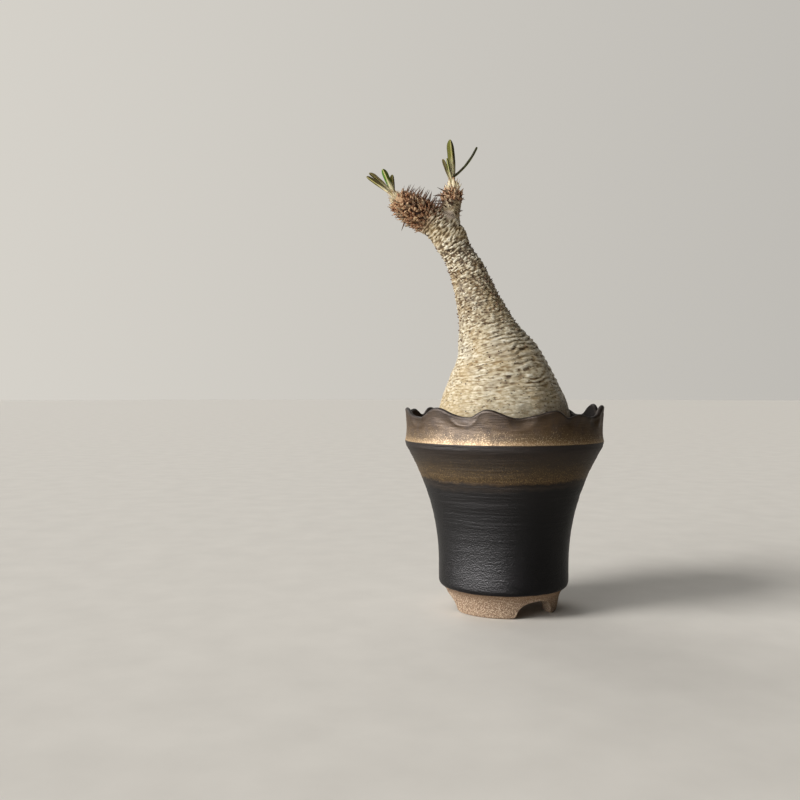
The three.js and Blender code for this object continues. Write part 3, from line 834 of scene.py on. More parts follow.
class Limb:
    """A limb's axis as rows of centre, radius, distance along, and the two directions round it."""

    def __init__(self, path):
        self.centres = [Vector(p[:3]) for p in path]
        self.radii = [p[3] for p in path]
        self.along = [0]
        for one, two in zip(self.centres, self.centres[1:]):
            self.along.append(self.along[-1] + (two - one).length)
        self.tangents, self.sides, self.fronts = [], [], []
        for i in range(len(path)):
            tangent = self.centres[min(i + 1, len(path) - 1)] - self.centres[max(i - 1, 0)]
            tangent.normalize()
            side = Vector((0, 1, 0)).cross(tangent).normalized()
            self.tangents.append(tangent)
            self.sides.append(side)
            self.fronts.append(tangent.cross(side))

    def row_at(self, distance):
        """The first row at or past a distance along the limb, found by halving."""
        low, high = 0, len(self.along) - 1
        while low < high:
            middle = (low + high) // 2
            if self.along[middle] < distance:
                low = middle + 1
            else:
                high = middle
        return low

    def outward(self, row, turn):
        return self.sides[row] * math.cos(turn) + self.fronts[row] * math.sin(turn)

    def skin(self, row, turn, lift=0.0):
        return self.centres[row] + self.outward(row, turn) * (self.radii[row] + lift)

    def distance_to(self, point):
        """The distance from a point to the surface, negative inside, by every sixth ring."""
        rings = zip(self.centres[::6], self.radii[::6])
        return min((point - centre).length - radius for centre, radius in rings)


stem = Limb(smooth_path(CAUDEX_ROOT, 5)[:-1] + smooth_path(CAUDEX_STEM, 0.46))
left_limb = Limb(smooth_path(LEFT_BRANCH, 0.46))
right_limb = Limb(smooth_path(RIGHT_BRANCH, 0.46))
print("rows:", len(stem.centres), len(left_limb.centres), len(right_limb.centres))

# %% Rows of knobs
FORK = Vector((-37, 0.5, 249))
SMOOTH_PATCH = Vector((-36.9, -5, 257.8))
PATCH_FADES = (3.6, 6.2)  # the distances from its middle between which the patch ends


def away_from_patch(point):
    """0 on the smooth patch at the foot of the right branch, 1 away from it."""
    return smoothstep(*PATCH_FADES, (point - SMOOTH_PATCH).length)


class Knobs:
    """Staggered rows of leaf scars along a limb."""

    def __init__(self, limb, start, end, pitch, around, seed):
        self.rows, self.start, self.pitch = [], start, pitch
        draw = random.Random(seed)
        distance, shift = start, 0.0
        while distance < end:
            radius = limb.radii[limb.row_at(distance)]
            count = max(6, round(math.tau * radius / around))
            shift += 0.5 + draw.uniform(-0.1, 0.1)
            marks = [
                (draw.uniform(-0.34, 0.34), draw.uniform(-0.5, 0.5), draw.uniform(0.4, 1.35))
                for _ in range(count)
            ]
            self.rows.append((distance, shift, marks))
            distance += pitch

    def each(self):
        """Every knob's distance along and turn."""
        for distance, shift, marks in self.rows:
            step = math.tau / len(marks)
            for i, (turn_off, along_off, _) in enumerate(marks):
                yield distance + along_off, (i + shift + turn_off) * step

    def height(self, distance, turn, radius, long, wide):
        """From 0 between the knobs to 1 at the top of one, long and wide in mm."""
        best = 0.0
        nearest = round((distance - self.start) / self.pitch)
        for row in range(max(0, nearest - 1), min(len(self.rows), nearest + 2)):
            at, shift, marks = self.rows[row]
            step = math.tau / len(marks)
            near = math.floor(turn / step - shift)
            for i in (near, near + 1):
                turn_off, along_off, strength = marks[i % len(marks)]
                du = (distance - at - along_off) / long
                du *= 1.35 if du > 0 else 0.85
                dv = (turn - (i + shift + turn_off) * step) * radius
                dv /= wide * (0.55 + 0.45 * strength)
                far = du * du + dv * dv
                if far < 1:
                    best = max(best, strength * (1 - far))
        return best


stem_knobs = Knobs(stem, 52, stem.along[-1] - 3, pitch=1.85, around=3.5, seed=11)
left_knobs = Knobs(left_limb, 4, left_limb.along[-1] - 1, pitch=1.9, around=3.6, seed=12)
right_knobs = Knobs(right_limb, 5, right_limb.along[-1] - 1, pitch=2.7, around=3.4, seed=13)
print("knobs:", [sum(1 for _ in k.each()) for k in (stem_knobs, left_knobs, right_knobs)])

# %% The bark where the limbs meet
FILLET_REACH = 5.0
FORK_REACH = 24
# The smooth patch's tone: its own pale pinkish grey, lifted further as painted light against the
# shadow that the left branch casts on it.
PATCH_TONE = 0.78
STROKE_WIDTH, STROKE_LENGTH = 1.1, 2.6
STROKE_WAY = (0.63, 0.77)  # the strokes run up to the right: x and z


def fillet(point, others):
    """The lift that blends limbs into each other, and how much of its relief the bark keeps."""
    if (point - FORK).length > FORK_REACH:
        return 0.0, 1.0
    far = min(abs(other.distance_to(point)) for other in others)
    share = max(0, 1 - far / FILLET_REACH)
    return FILLET_REACH * share * share / 4, away_from_patch(point)


def near_fork(point, lift, tone, calm, reach):
    """Turns a limb's own knobs into pale strokes near the fork, the same for all limbs there, with
    painted shade between the strokes.
    """
    off = point - FORK
    share = 1 - smoothstep(0.6 * reach, reach, off.length)
    right, up = STROKE_WAY
    along, across = right * off.x + up * off.z, right * off.z - up * off.x
    stroke = noise.noise(Vector((across / STROKE_WIDTH, off.y / 4, along / STROKE_LENGTH)))
    lift = mixed(lift, 1.1 * calm * stroke, share)
    # The tone follows the strokes' lift: painted light on them and painted shade between them.
    tone = mixed(tone, 0.46 + 1.4 * stroke, share)
    return lift, min(1, max(0, mixed(PATCH_TONE, tone, calm)))


print("at the fork: lift, kept relief", [round(v, 2) for v in fillet(FORK, (left_limb, right_limb))])

# %% The relief of the stem
IN_SOIL_Z = 110
OLD_TONE_MIDDLE = 0.68


def stem_relief(row, turn):
    """The lift of the bark and its tone, with painted light and shade: knobs on the neck, fine lines
    and folds on the bulb.
    """
    radius, distance, z = stem.radii[row], stem.along[row], stem.centres[row].z
    if z < IN_SOIL_Z:
        return 0.0, 0.4, 0.0
    fine_part = 1 - smoothstep(132, 154, z)
    folded = smoothstep(126, 155, z) * (1 - smoothstep(186, 205, z))
    neck = smoothstep(172, 206, z)
    top = smoothstep(212, 238, z)
    skin = stem.skin(row, turn)
    blend, calm = fillet(skin, (left_limb, right_limb))
    warp = ripple(skin, 2.1) + 0.5 * ripple(skin, 6, (5, 0, 0))
    warped, turned = distance + 0.7 * warp, turn + 0.9 * warp / radius
    knob = stem_knobs.height(warped, turned, radius, 1.0, mixed(1.9, 2.7, top))
    round_way = Vector((math.cos(turn) * radius, math.sin(turn) * radius, 0))
    line = ripple(round_way, 3.4, (0, 0, distance / 0.62))
    wrinkle = ripple(round_way, 7, (4, 0, distance / 1.1))
    crease = 1 - smoothstep(0, 0.17, abs(ripple(round_way, 9, (1, 8, distance / 1.9))))
    bend = ripple(round_way, 12, (9, 0, distance / 9))
    fold = abs(math.sin(math.pi * distance / 3.3 + 3.4 * bend + 0.5 * wrinkle)) - 0.6
    uneven = 0.7 + 1.1 * ripple(round_way, 6, (2, 7, distance / 5))
    swell = ripple(round_way, 14, (0, 5, distance / 12))
    right_side = mixed(0.2, 1, smoothstep(-0.3, 0.6, math.cos(turn)))
    fold *= folded * right_side * max(0, uneven)
    lift = 0.9 * swell * (1 - 0.6 * neck) + 1.15 * fold
    lift += mixed(0.14, 0.6 + 0.3 * top, neck) * calm * (knob - 0.4)
    lift += mixed(0.19 - 0.06 * fine_part, 0.16 - 0.08 * top, neck) * (line + wrinkle)
    lift -= mixed(0.2 - 0.15 * fine_part, 0.12 - 0.08 * top, neck) * crease
    # The tone follows the lift: pale on the knobs, lines and crests of the folds, dark in the creases
    # and troughs. It is the bark's own pale and brown together with painted light on the tops and
    # painted shade in the hollows.
    old_tone = OLD_TONE_MIDDLE + (1 - 0.4 * fine_part) * (0.42 * line + 0.25 * wrinkle)
    old_tone += 0.7 * fold + 0.3 * (knob - 0.4) - 0.28 * (1 - 0.8 * fine_part) * crease
    neck_tone = 0.32 + 0.5 * knob + 0.5 * line - 0.18 * crease
    neck_tone = mixed(neck_tone, 0.06 + 0.95 * knob + 0.2 * line, top)
    lift, tone = near_fork(skin, lift, mixed(old_tone, neck_tone, neck), calm, 16)
    return lift + blend, tone, 0.05 * smoothstep(236, 250, z)


half_way = stem.row_at(stem.along[-1] / 2)
print("bark half-way up: lift, tone, fresh", [round(v, 2) for v in stem_relief(half_way, 0)])


# %% The relief of the branches
def branch_relief(limb, knobs, others, young, old_width, fork_reach, scar_depth=0):
    """The same for a branch, whose bark turns from old to young between two shares of its length.

    old_width is the half width of the knobs on its old part, fork_reach how far the strokes of
    the fork run up it, and scar_depth how far the tops of the strongest knobs are sunk.
    """
    end = limb.along[-1]

    def relief(row, turn):
        radius, distance = limb.radii[row], limb.along[row]
        skin = limb.skin(row, turn)
        blend, calm = fillet(skin, others)
        fresh = smoothstep(young[0] * end, young[1] * end, distance)
        warp = 0.8 * ripple(skin, 2.1)
        wide, long = mixed(old_width, 1.6, fresh), knobs.pitch * 0.55
        knob = knobs.height(distance + warp, turn + warp / radius, radius, long, wide)
        grain = ripple(skin, 1.1)
        tall = mixed(1.0, 1.3, fresh) * (1 - smoothstep(0.93 * end, end, distance))
        scar = scar_depth * smoothstep(0.46, 0.62, knob) * (1 - fresh)
        lift = tall * calm * (knob - 0.4) + 0.1 * grain - 0.8 * scar
        # Pale knob tops and dark gaps: the bark's own tone together with painted light on the knobs
        # and painted shade between them.
        tone = 0.04 + 0.95 * knob + 0.15 * grain + scar_depth * (0.3 - 1.5 * scar)
        tone = mixed(tone, 0.82, smoothstep(0.84 * end, 0.93 * end, distance))
        lift, tone = near_fork(skin, lift, tone, calm, fork_reach)
        return lift + blend, tone, fresh

    return relief


left_relief = branch_relief(
    left_limb, left_knobs, (stem, right_limb), young=(0.32, 0.6), old_width=2.8, fork_reach=25
)
right_relief = branch_relief(
    right_limb, right_knobs, (stem, left_limb), young=(0.62, 0.85), old_width=1.6, fork_reach=12,
    scar_depth=1,
)
left_tip = [round(v, 2) for v in left_relief(len(left_limb.centres) - 1, 0)]
print("bark at the left tip: lift, tone, fresh", left_tip)

# %% [markdown]
# ## From three tubes to one body
# Each limb is a tube of its own. The tubes overlap at the fork, and an exact union makes one
# closed body of them, as the plant is one grown piece. The union mixes up the tones that the
# two added tubes remember, so they aren't stored before it. They are kept in a list, and each
# vertex of the union looks up the nearest one there.

# %% Carry the rings to their sections and join the limbs
CAP_RISE = 0.4  # how far the tube's closed ends bulge
bark_marks = []  # place, knob, fresh and rough bark of every vertex of the three limbs


def carry(name, limb, columns, relief):
    """Spins a straight tube and carries each ring to its section. relief gives a lift and tones."""
    rows = len(limb.centres)
    chain = [(0, 0)] + [(1, i + 1) for i in range(rows)] + [(0, rows + 1)]
    tube = spun(name, [(r * MM, z * MM) for r, z in chain], columns)
    for vertex in tube.data.vertices:
        level = round(vertex.co.z / MM)
        row = min(max(level - 1, 0), rows - 1)
        turn = math.atan2(vertex.co.y, vertex.co.x)
        if level in (0, rows + 1):
            point = limb.centres[row] + limb.tangents[row] * (-CAP_RISE if level == 0 else CAP_RISE)
            knob, fresh = 0.3, relief(row, 0)[2]
        else:
            lift, knob, fresh = relief(row, turn)
            point = limb.skin(row, turn, lift)
        calmer = mixed(0.4, 1, smoothstep(14, 24, (point - FORK).length))
        vertex.co = point * MM + Vector((AXIS_X, 0, 0))
        bark_marks.append((vertex.co.copy(), knob, fresh, away_from_patch(point) * calmer))
    return tube


caudex = carry("caudex_bark", stem, 248, stem_relief)
left_head = carry("left_head", left_limb, 118, left_relief)
right_head = carry("right_head", right_limb, 84, right_relief)
for head in (left_head, right_head):
    pick(caudex)
    bpy.ops.object.modifier_add(type="BOOLEAN")
    union = caudex.modifiers[-1]
    union.operation = "UNION"
    union.solver = "EXACT"
    union.object = head
    bpy.ops.object.modifier_apply(modifier=union.name)
    discard(head)
bpy.ops.object.shade_smooth()

# The tones of the nearest old vertex, for each vertex of the union
lookup = kdtree.KDTree(len(bark_marks))
for i, mark in enumerate(bark_marks):
    lookup.insert(mark[0], i)
lookup.balance()
nearest = [bark_marks[lookup.find(vertex.co)[1]] for vertex in caudex.data.vertices]
for number, tone in enumerate(("knob", "fresh", "rough_bark"), start=1):
    store(caudex.data, tone, [mark[number] for mark in nearest])
triangles = sum(len(face.vertices) - 2 for face in caudex.data.polygons)
print("caudex triangles:", triangles, "attributes:", [a.name for a in caudex.data.attributes])

# %% [markdown]
# ## Thorns and spines
# Young branches carry pointed, reddish-brown leaf bases, and between them stand slim grey-brown
# spines, long on the upper side of the left branch and on the left of the right one. Old
# thorns wear down to dark nubs on the neck. All of them come from one small model: a pointed
# chain spun round its axis and bent a little. Each copy is stretched for its own place. Hair
# could be grown there instead, but copies of a mesh each keep to their own knob.

# %% One thorn, and the nubs on the neck
THORN_SECTION = [(0, 0), (1, 0.0), (0.86, 0.25), (0.62, 0.5), (0.36, 0.75), (0.14, 0.94), (0, 1)]
NUB_SHARE = 0.36  # of the knobs on the upper neck


def bent_cone(name, section, sides, flat, bend):
    """A small pointed model of unit size: spun, flattened in X and bent along its length."""
    made = spun(name, section, sides)
    for vertex in made.data.vertices:
        vertex.co.x = flat * vertex.co.x + bend * vertex.co.z**2
    store(made.data, "along", [vertex.co.z for vertex in made.data.vertices])
    bpy.ops.object.shade_smooth()
    return made


def standing(root, aim, length, thickness):
    """The matrix that stands a unit model on a root, along an aim."""
    facing = aim.to_track_quat("Z", "X").to_matrix().to_4x4()
    size = Matrix.Diagonal((thickness * MM, thickness * MM, length * MM, 1))
    return Matrix.Translation(root * MM) @ facing @ size


def thorn_matrix(limb, distance, turn, lean, length, thickness, sunk, lift=0.0):
    """Stands a thorn on a limb. lean is how far it tips towards the limb's end."""
    row = limb.row_at(distance)
    aim = (limb.outward(row, turn) + limb.tangents[row] * lean).normalized()
    return standing(limb.skin(row, turn, lift - sunk) + AXIS, aim, length + sunk, thickness)


thorn = bent_cone("thorn", THORN_SECTION, sides=6, flat=1, bend=0.35)
rng = random.Random(19)
nub_places = []
for distance, turn in stem_knobs.each():
    row = stem.row_at(distance)
    grown = smoothstep(158, 215, stem.centres[row].z)
    fork_calm = smoothstep(9, 13, (stem.skin(row, turn) - FORK).length)
    if rng.random() < NUB_SHARE * grown * fork_calm and distance < stem.along[-1] - 6:
        length = mixed(0.3, 0.95, grown) * rng.uniform(0.6, 1.5)
        lean = rng.uniform(0.1, 0.9)
        place = thorn_matrix(stem, distance, turn, lean, length, thickness=0.55, sunk=0.4, lift=0.3)
        nub_places.append((place, rng.random()))
neck_nubs = copies_of(thorn, "neck_nubs", nub_places, "thorn_hue")
print("nubs:", len(nub_places))

# %% Leaf bases and spines on the branches
BASES_PER_KNOB = 2
BASE_SHARE = 0.9
LONGEST_SPINE = 10.2
UPWARD = Vector((0, -0.2, 1)).normalized()
LEFTWARD = Vector((-1, -0.2, 0.3)).normalized()


def head_thorns(name, limb, knobs, favoured, first_red, seed):
    """Pointed leaf bases on the knobs of a branch, and slim spines among them."""
    draw = random.Random(seed)
    bases, spines = [], []
    for distance, turn in knobs.each():
        share = distance / limb.along[-1]
        row = limb.row_at(distance)
        skin = limb.skin(row, turn)
        fresh = smoothstep(first_red, first_red + 0.26, share)
        favour = 0.5 + 0.5 * limb.outward(row, turn).dot(favoured)
        clear = smoothstep(7, 13, (skin - FORK).length)
        clear *= smoothstep(5, 8, (skin - SMOOTH_PATCH).length)
        for _ in range(BASES_PER_KNOB):
            if fresh * clear > 0.4 and draw.random() < BASE_SHARE:
                lean = mixed(0.3, 1.4, share) + draw.uniform(-0.4, 0.6)
                length = mixed(1.0, 3.1, fresh) * draw.uniform(0.5, 1.4)
                thick = mixed(0.6, 0.9, fresh) * draw.uniform(0.65, 1.3)
                aside = turn + draw.uniform(-0.16, 0.16)
                level = distance + draw.uniform(-0.7, 0.7)
                stand = thorn_matrix(limb, level, aside, lean, length, thick, sunk=0.9, lift=0.1)
                bases.append((stand, mixed(0.3 * draw.random(), draw.random(), fresh)))
        grown = mixed(smoothstep(0.35, 0.55, share), 1, favour)
        if share < 0.96 and clear > 0.4 and draw.random() < (0.3 + 0.5 * favour) * grown:
            length = LONGEST_SPINE * (0.12 + 0.6 * favour**2 + 0.3 * draw.random())
            length *= mixed(0.7, 1, smoothstep(0.2, 0.5, share))
            lean = draw.uniform(-0.3, 0.2) + 0.25 * share * draw.random()
            aside = turn + draw.uniform(-0.22, 0.22)
            thick = mixed(0.38, 0.56, favour) * draw.uniform(0.85, 1.15)
            stand = thorn_matrix(limb, distance, aside, lean, length, thick, sunk=0.8)
            spines.append((stand, draw.random()))
    print(name, "leaf bases:", len(bases), "spines:", len(spines))
    leaf_bases = copies_of(thorn, name + "_leaf_bases", bases, "thorn_hue")
    return leaf_bases, copies_of(thorn, name + "_spines", spines, "thorn_hue")


left_bases, left_spines = head_thorns("left", left_limb, left_knobs, UPWARD, 0.32, seed=21)
right_bases, right_spines = head_thorns("right", right_limb, right_knobs, LEFTWARD, 0.55, seed=22)

# %% The lone spine under the left head
LONE_SUNK = 1.4
lone_root = AXIS + Vector((-65.2, -4, 256.6))
lone_aim = Vector((-0.3, 0, -0.95)).normalized()
lone_place = standing(lone_root - lone_aim * LONE_SUNK, lone_aim, length=9.8, thickness=0.75)
lone_spine = copies_of(thorn, "lone_spine", [(lone_place, 0.1)], "thorn_hue")
discard(thorn)
lowest = min(vertex.co.z for vertex in lone_spine.data.vertices)
print("lone spine reaches down to", round(lowest / MM, 1), "mm")

# %% [markdown]
# ## Bark and thorns: the finishes
# Old bark is silvery cream. Its knobs and the backs of its wrinkles are pale, the hollows between
# them brown, and tiny dark pits are scattered over it. The pale and brown are partly the bark's own
# colour and partly painted light on the tops and painted shade in the hollows, creases and troughs of
# the folds. The knob attribute says how high each place stands, so the colour, with its painted light
# and shade, follows the relief exactly. On the young branches the same bark turns reddish brown and
# tan. The smooth patch at the fork is a plain pinkish grey, painted paler still as painted light
# against the shadow of the left branch: there the rough_bark attribute falls to 0, and the pits and
# stains and most bumps with it.

# %% The tones of old and young bark
bark = Finish("silver_bark", specular=0.35)
on_bark = bark.place()
wide_clouds = bark.noise(on_bark, 60, 3)
fine = bark.noise(on_bark, 1500, 3, 0.6)
streaks = bark.noise(bark.place(stretch=(1, 1, 5)), 330, 4, 0.65)
knob = bark.value_of("knob")
rough_bark = bark.value_of("rough_bark")
mottle = bark.swayed(bark.scaled(streaks, 0.6, -0.3), fine, 0.3)
# Tone from the knob attribute and the mottle: pale tops and brown hollows, partly the bark's colour
# and partly painted light and shade.
relief_tone = bark.scaled(mottle, bark.band(rough_bark, 0, 1, 0.25, 1), knob)

# Old bark, with warm and grey clouds, and a warmer tone low on the left
old_tone = bark.ramp(
    relief_tone,
    [
        (0.0, (54, 40, 29)), (0.16, (98, 80, 60)), (0.34, (144, 126, 101)),
        (0.56, (190, 178, 150)), (0.78, (220, 210, 186)), (1.0, (242, 236, 218)),
    ],
)
warm_share = bark.band(wide_clouds, 0.45, 0.7, 0, 0.45)
warm = bark.mix(warm_share, old_tone, (190, 164, 118))
grey_clouds = bark.noise(bark.place(shift=(3, 1, 2)), 85, 3)
silver = bark.mix(bark.band(grey_clouds, 0.5, 0.68, 0, 0.35), warm, (150, 142, 130))
bark_way = bark.add("ShaderNodeSeparateXYZ", {0: on_bark})
on_the_left = bark.band(bark_way.outputs["X"], 0.002, -0.026)
low_left = bark.times(on_the_left, bark.band(bark_way.outputs["Z"], 0.165, 0.125, 0, 0.45))
silver = bark.mix(low_left, silver, (204, 172, 110))

# Young bark, where the limbs are fresh
young_tone = bark.ramp(
    relief_tone,
    [
        (0.05, (44, 27, 18)), (0.3, (96, 63, 42)), (0.6, (154, 112, 78)),
        (1.0, (218, 188, 150)),
    ],
)
bark_tone = bark.mix(bark.value_of("fresh"), silver, young_tone)
print("nodes for the tones of the bark:", len(bark.tree.nodes))

# %% Dark pits in some of the cells, brown stains, and the bumps
pit_where = bark.place(stretch=(0.7, 0.7, 1.15))
pit_cells = bark.cells(pit_where, 520)
pit_pick = bark.cells(pit_where, 520, output="Color")
pit_share = bark.times(bark.band(pit_cells, 0.32, 0.16), bark.band(pit_pick, 0.54, 0.6))
pit_share = bark.times(pit_share, rough_bark)
stain_grain = bark.noise(bark.place(stretch=(0.6, 0.6, 1.4)), 620, 3, 0.7)
stain_share = bark.band(stain_grain, 0.54, 0.64, 0, 0.6)
stain_share = bark.times(stain_share, bark.band(grey_clouds, 0.54, 0.46))
stain_share = bark.times(stain_share, rough_bark)
bark_tone = bark.mix(stain_share, bark_tone, (150, 120, 76))
# The smooth patch: plain pinkish grey, painted paler as painted light where the left branch casts its
# shadow.
bark_tone = bark.mix(bark.band(rough_bark, 0.4, 0, 0, 0.7), bark_tone, (202, 184, 170))
bark_tone = bark.mix(bark.times(pit_share, 0.85), bark_tone, (58, 43, 30))

bark_bump = bark.bump(streaks, 0.0009, bark.band(rough_bark, 0, 1, 0.15, 0.8))
bark_bump = bark.bump(fine, 0.0004, bark.band(rough_bark, 0, 1, 0.15, 0.6), under=bark_bump)
bark_gloss = bark.band(relief_tone, 0.35, 0.95, 0.7, 0.4)
caudex.data.materials.clear()
caudex.data.materials.append(
    bark.connect(Base_Color=bark_tone, Roughness=bark_gloss, Normal=bark_bump)
)
print("bark nodes:", len(bark.tree.nodes))

# %% Finish of the thorns
spine_skin = Finish("grey_brown_spines", specular=0.3)
hue = spine_skin.value_of("thorn_hue")
up_spine = spine_skin.value_of("along")
spine_grain = spine_skin.noise(spine_skin.place(), 1500, 2)
spine_tone = spine_skin.ramp(
    up_spine,
    [
        (0.0, (132, 88, 62)), (0.3, (116, 84, 64)), (0.7, (94, 71, 57)),
        (1.0, (46, 34, 28)),
    ],
)
spine_grey = spine_skin.times(spine_skin.band(spine_grain, 0.4, 0.7), hue)
spine_tone = spine_skin.mix(spine_skin.times(spine_grey, 0.6), spine_tone, (140, 126, 110))
spine_material = spine_skin.connect(Base_Color=spine_tone)

base_skin = Finish("red_brown_leaf_bases", specular=0.3)
up_base = base_skin.value_of("along")
base_hue = base_skin.value_of("thorn_hue")
base_grain = base_skin.noise(base_skin.place(), 900, 3)
along_grain = base_skin.swayed(up_base, base_grain, 0.9)
red_tone = base_skin.ramp(
    along_grain,
    [
        (0.0, (56, 34, 24)), (0.3, (114, 73, 50)), (0.55, (168, 116, 84)),
        (0.72, (228, 190, 152)), (0.85, (122, 80, 56)), (1.0, (44, 28, 21)),
    ],
)
grey_tone = base_skin.ramp(
    along_grain,
    [
        (0.0, (70, 54, 42)), (0.35, (128, 108, 86)), (0.65, (184, 166, 138)),
        (1.0, (66, 48, 38)),
    ],
)
tan_tone = base_skin.ramp(
    along_grain,
    [
        (0.0, (96, 62, 42)), (0.3, (182, 138, 98)), (0.6, (236, 210, 172)),
        (0.8, (178, 134, 96)), (1.0, (66, 43, 31)),
    ],
)
base_tone = base_skin.mix(base_skin.band(base_hue, 0.14, 0.3), grey_tone, red_tone)
base_tone = base_skin.mix(base_skin.band(base_hue, 0.5, 0.85), base_tone, tan_tone)
base_material = base_skin.connect(Base_Color=base_tone)

for piece in (neck_nubs, left_spines, right_spines, lone_spine):
    piece.data.materials.append(spine_material)
for piece in (left_bases, right_bases):
    piece.data.materials.append(base_material)
for piece in (caudex, neck_nubs, left_bases, left_spines, right_bases, right_spines, lone_spine):
    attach(piece, "root")
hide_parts("caudex")
print("thorn finishes:", spine_material.name, base_material.name)

# %% [markdown]
# ## Leaves
# The young leaves are narrow blades, folded along a pale midrib, with blunt tips. Each starts as a
# flat grid. Its rows are carried along a curve from the bud to the tip, narrowed to the blade's
# outline and folded, and then Solidify and Subdivision Surface give it a thin, soft edge. The grid
# remembers how far across and along each point lies, and the finish paints the midrib, the edges, the
# cream base and a painted shade on one half of most blades from that.


# %% Helper for a blade
BLADE_TIP = 0.8  # the share of the length from which the tip is rounded
TIP_SHARE = 0.203  # a little more than the rest, so that the tip stays blunt


def blade(name, root, tip, bend, facing, width, fold, hue, thickness, foot):
    """A folded leaf blade along a curve, in millimetres from the pot's axis."""
    bpy.ops.object.select_all(action="DESELECT")
    bpy.ops.mesh.primitive_grid_add(x_subdivisions=8, y_subdivisions=22, size=1)
    made = bpy.context.object
    made.name = name
    root, tip, facing = Vector(root), Vector(tip), Vector(facing).normalized()
    bent = root.lerp(tip, 0.5) + Vector(bend)
    tones = {"across": [], "along": [], "leaf_hue": []}
    for vertex in made.data.vertices:
        across, share = 2 * vertex.co.x, vertex.co.y + 0.5
        tones["across"].append(across)
        tones["along"].append(share)
        tones["leaf_hue"].append(hue)
        point = root * (1 - share) ** 2 + bent * 2 * share * (1 - share) + tip * share**2
        tangent = ((bent - root) * (1 - share) + (tip - bent) * share).normalized()
        sideways = tangent.cross(facing).normalized()
        normal = sideways.cross(tangent)
        outline = mixed(foot, 1, smoothstep(0, 0.62, share))
        if share > BLADE_TIP:
            outline *= math.sqrt(max(0.02, 1 - ((share - BLADE_TIP) / TIP_SHARE) ** 2))
        half = across * width / 2 * outline
        deep = abs(half) * fold + 0.16 * noise.noise(point * 0.35 + Vector((across, 0, 0)))
        vertex.co = (point + sideways * half + normal * deep + AXIS) * MM
    for tone, values in tones.items():
        store(made.data, tone, values)
    bpy.ops.object.modifier_add(type="SOLIDIFY")
    solidify = made.modifiers[-1]
    solidify.thickness = thickness * MM
    solidify.offset = 0
    bpy.ops.object.modifier_apply(modifier=solidify.name)
    bpy.ops.object.modifier_add(type="SUBSURF")
    rounding = made.modifiers[-1]
    rounding.levels = 1
    rounding.render_levels = 1
    bpy.ops.object.modifier_apply(modifier=rounding.name)
    bpy.ops.object.shade_smooth()
    return made


# %% The two tufts
LEFT_END, LEFT_AIM = Vector((-71.2, -4.8, 270.2)), Vector((-3.2, -0.3, 2.6)).normalized()
RIGHT_END, RIGHT_AIM = Vector((-33.8, 3, 278.6)), Vector((0.2, 0, 4.6)).normalized()
LEFT_BLADES = [  # root's lift, tip, bend, facing, width, fold, hue, thickness, width at the foot
    (1.4, (-89.1, -8, 286), (0.6, 0, 0.6), (0.5, -1, 0.6), 4.2, 0.4, 0.12, 0.55, 0.4),
    (1.4, (-91, -3, 285), (0.6, 0, -0.2), (0.4, 0.9, 0.9), 3.2, 0.3, 0.3, 0.55, 0.4),
    (1.4, (-80.3, -7, 288.9), (0, 0, 0), (0.5, 1, -0.1), 4.1, 0.5, 0.85, 0.55, 0.4),
    (1.4, (-73.8, -2, 286.5), (-0.6, 0, 0), (-0.5, 1, 0), 3.3, 0.6, 0.3, 0.55, 0.5),
]
RIGHT_BLADES = [
    (1.4, (-35.5, 1.5, 310.7), (1.7, -0.4, 0), (-0.25, 1, 0), 5.2, 0.8, 0.6, 0.5, 0.75),
    (1.4, (-33.2, 4, 301), (0.9, 0.4, 0), (-0.2, 1, 0), 2.8, 0.5, 0.5, 0.5, 0.7),
    (7.2, (-17.4, 2.6, 306), (2.9, 0, -2.3), (-0.6, 0.2, 0.8), 2, 0.3, 1.0, 1.3, 0.9),
    (1.4, (-40.5, 1, 297.6), (-0.3, 0, 0.6), (0.4, -1, 0.2), 2.7, 0.3, 0.02, 0.6, 0.6),
    (1.4, (-37.8, 0, 298), (-0.4, -0.4, 0.4), (0.9, 1, 0.2), 1.9, 0.5, 0.93, 0.6, 0.7),
]


def leaves_of(name, end, aim, blades):
    """One tuft: its blades start a little above the branch's end."""
    made = []
    for i, (lift, *shape) in enumerate(blades):
        made.append(blade(f"{name}_{i}", end + aim * lift, *shape))
    return gather(name, made)


left_leaves = leaves_of("left_leaves", LEFT_END, LEFT_AIM, LEFT_BLADES)
right_leaves = leaves_of("right_leaves", RIGHT_END, RIGHT_AIM, RIGHT_BLADES)
print("leaf faces:", len(left_leaves.data.polygons), len(right_leaves.data.polygons))

# %% The cream bud scales at their feet
SCALE_SECTION = [(0, 0), (0.8, 0), (1, 0.2), (0.86, 0.45), (0.55, 0.7), (0.24, 0.9), (0, 1)]
BUD_RINGS = [  # distance from the middle, height, lean, number of scales
    (0.95, 0.62, 0.5, 15), (0.72, 0.95, 0.26, 13), (0.46, 1.3, 0.12, 9), (0.2, 1.5, 0.05, 5),
]
SCALE_SUNK = 0.8
bud_scale = bent_cone("bud_scale", SCALE_SECTION, sides=8, flat=0.5, bend=-0.5)


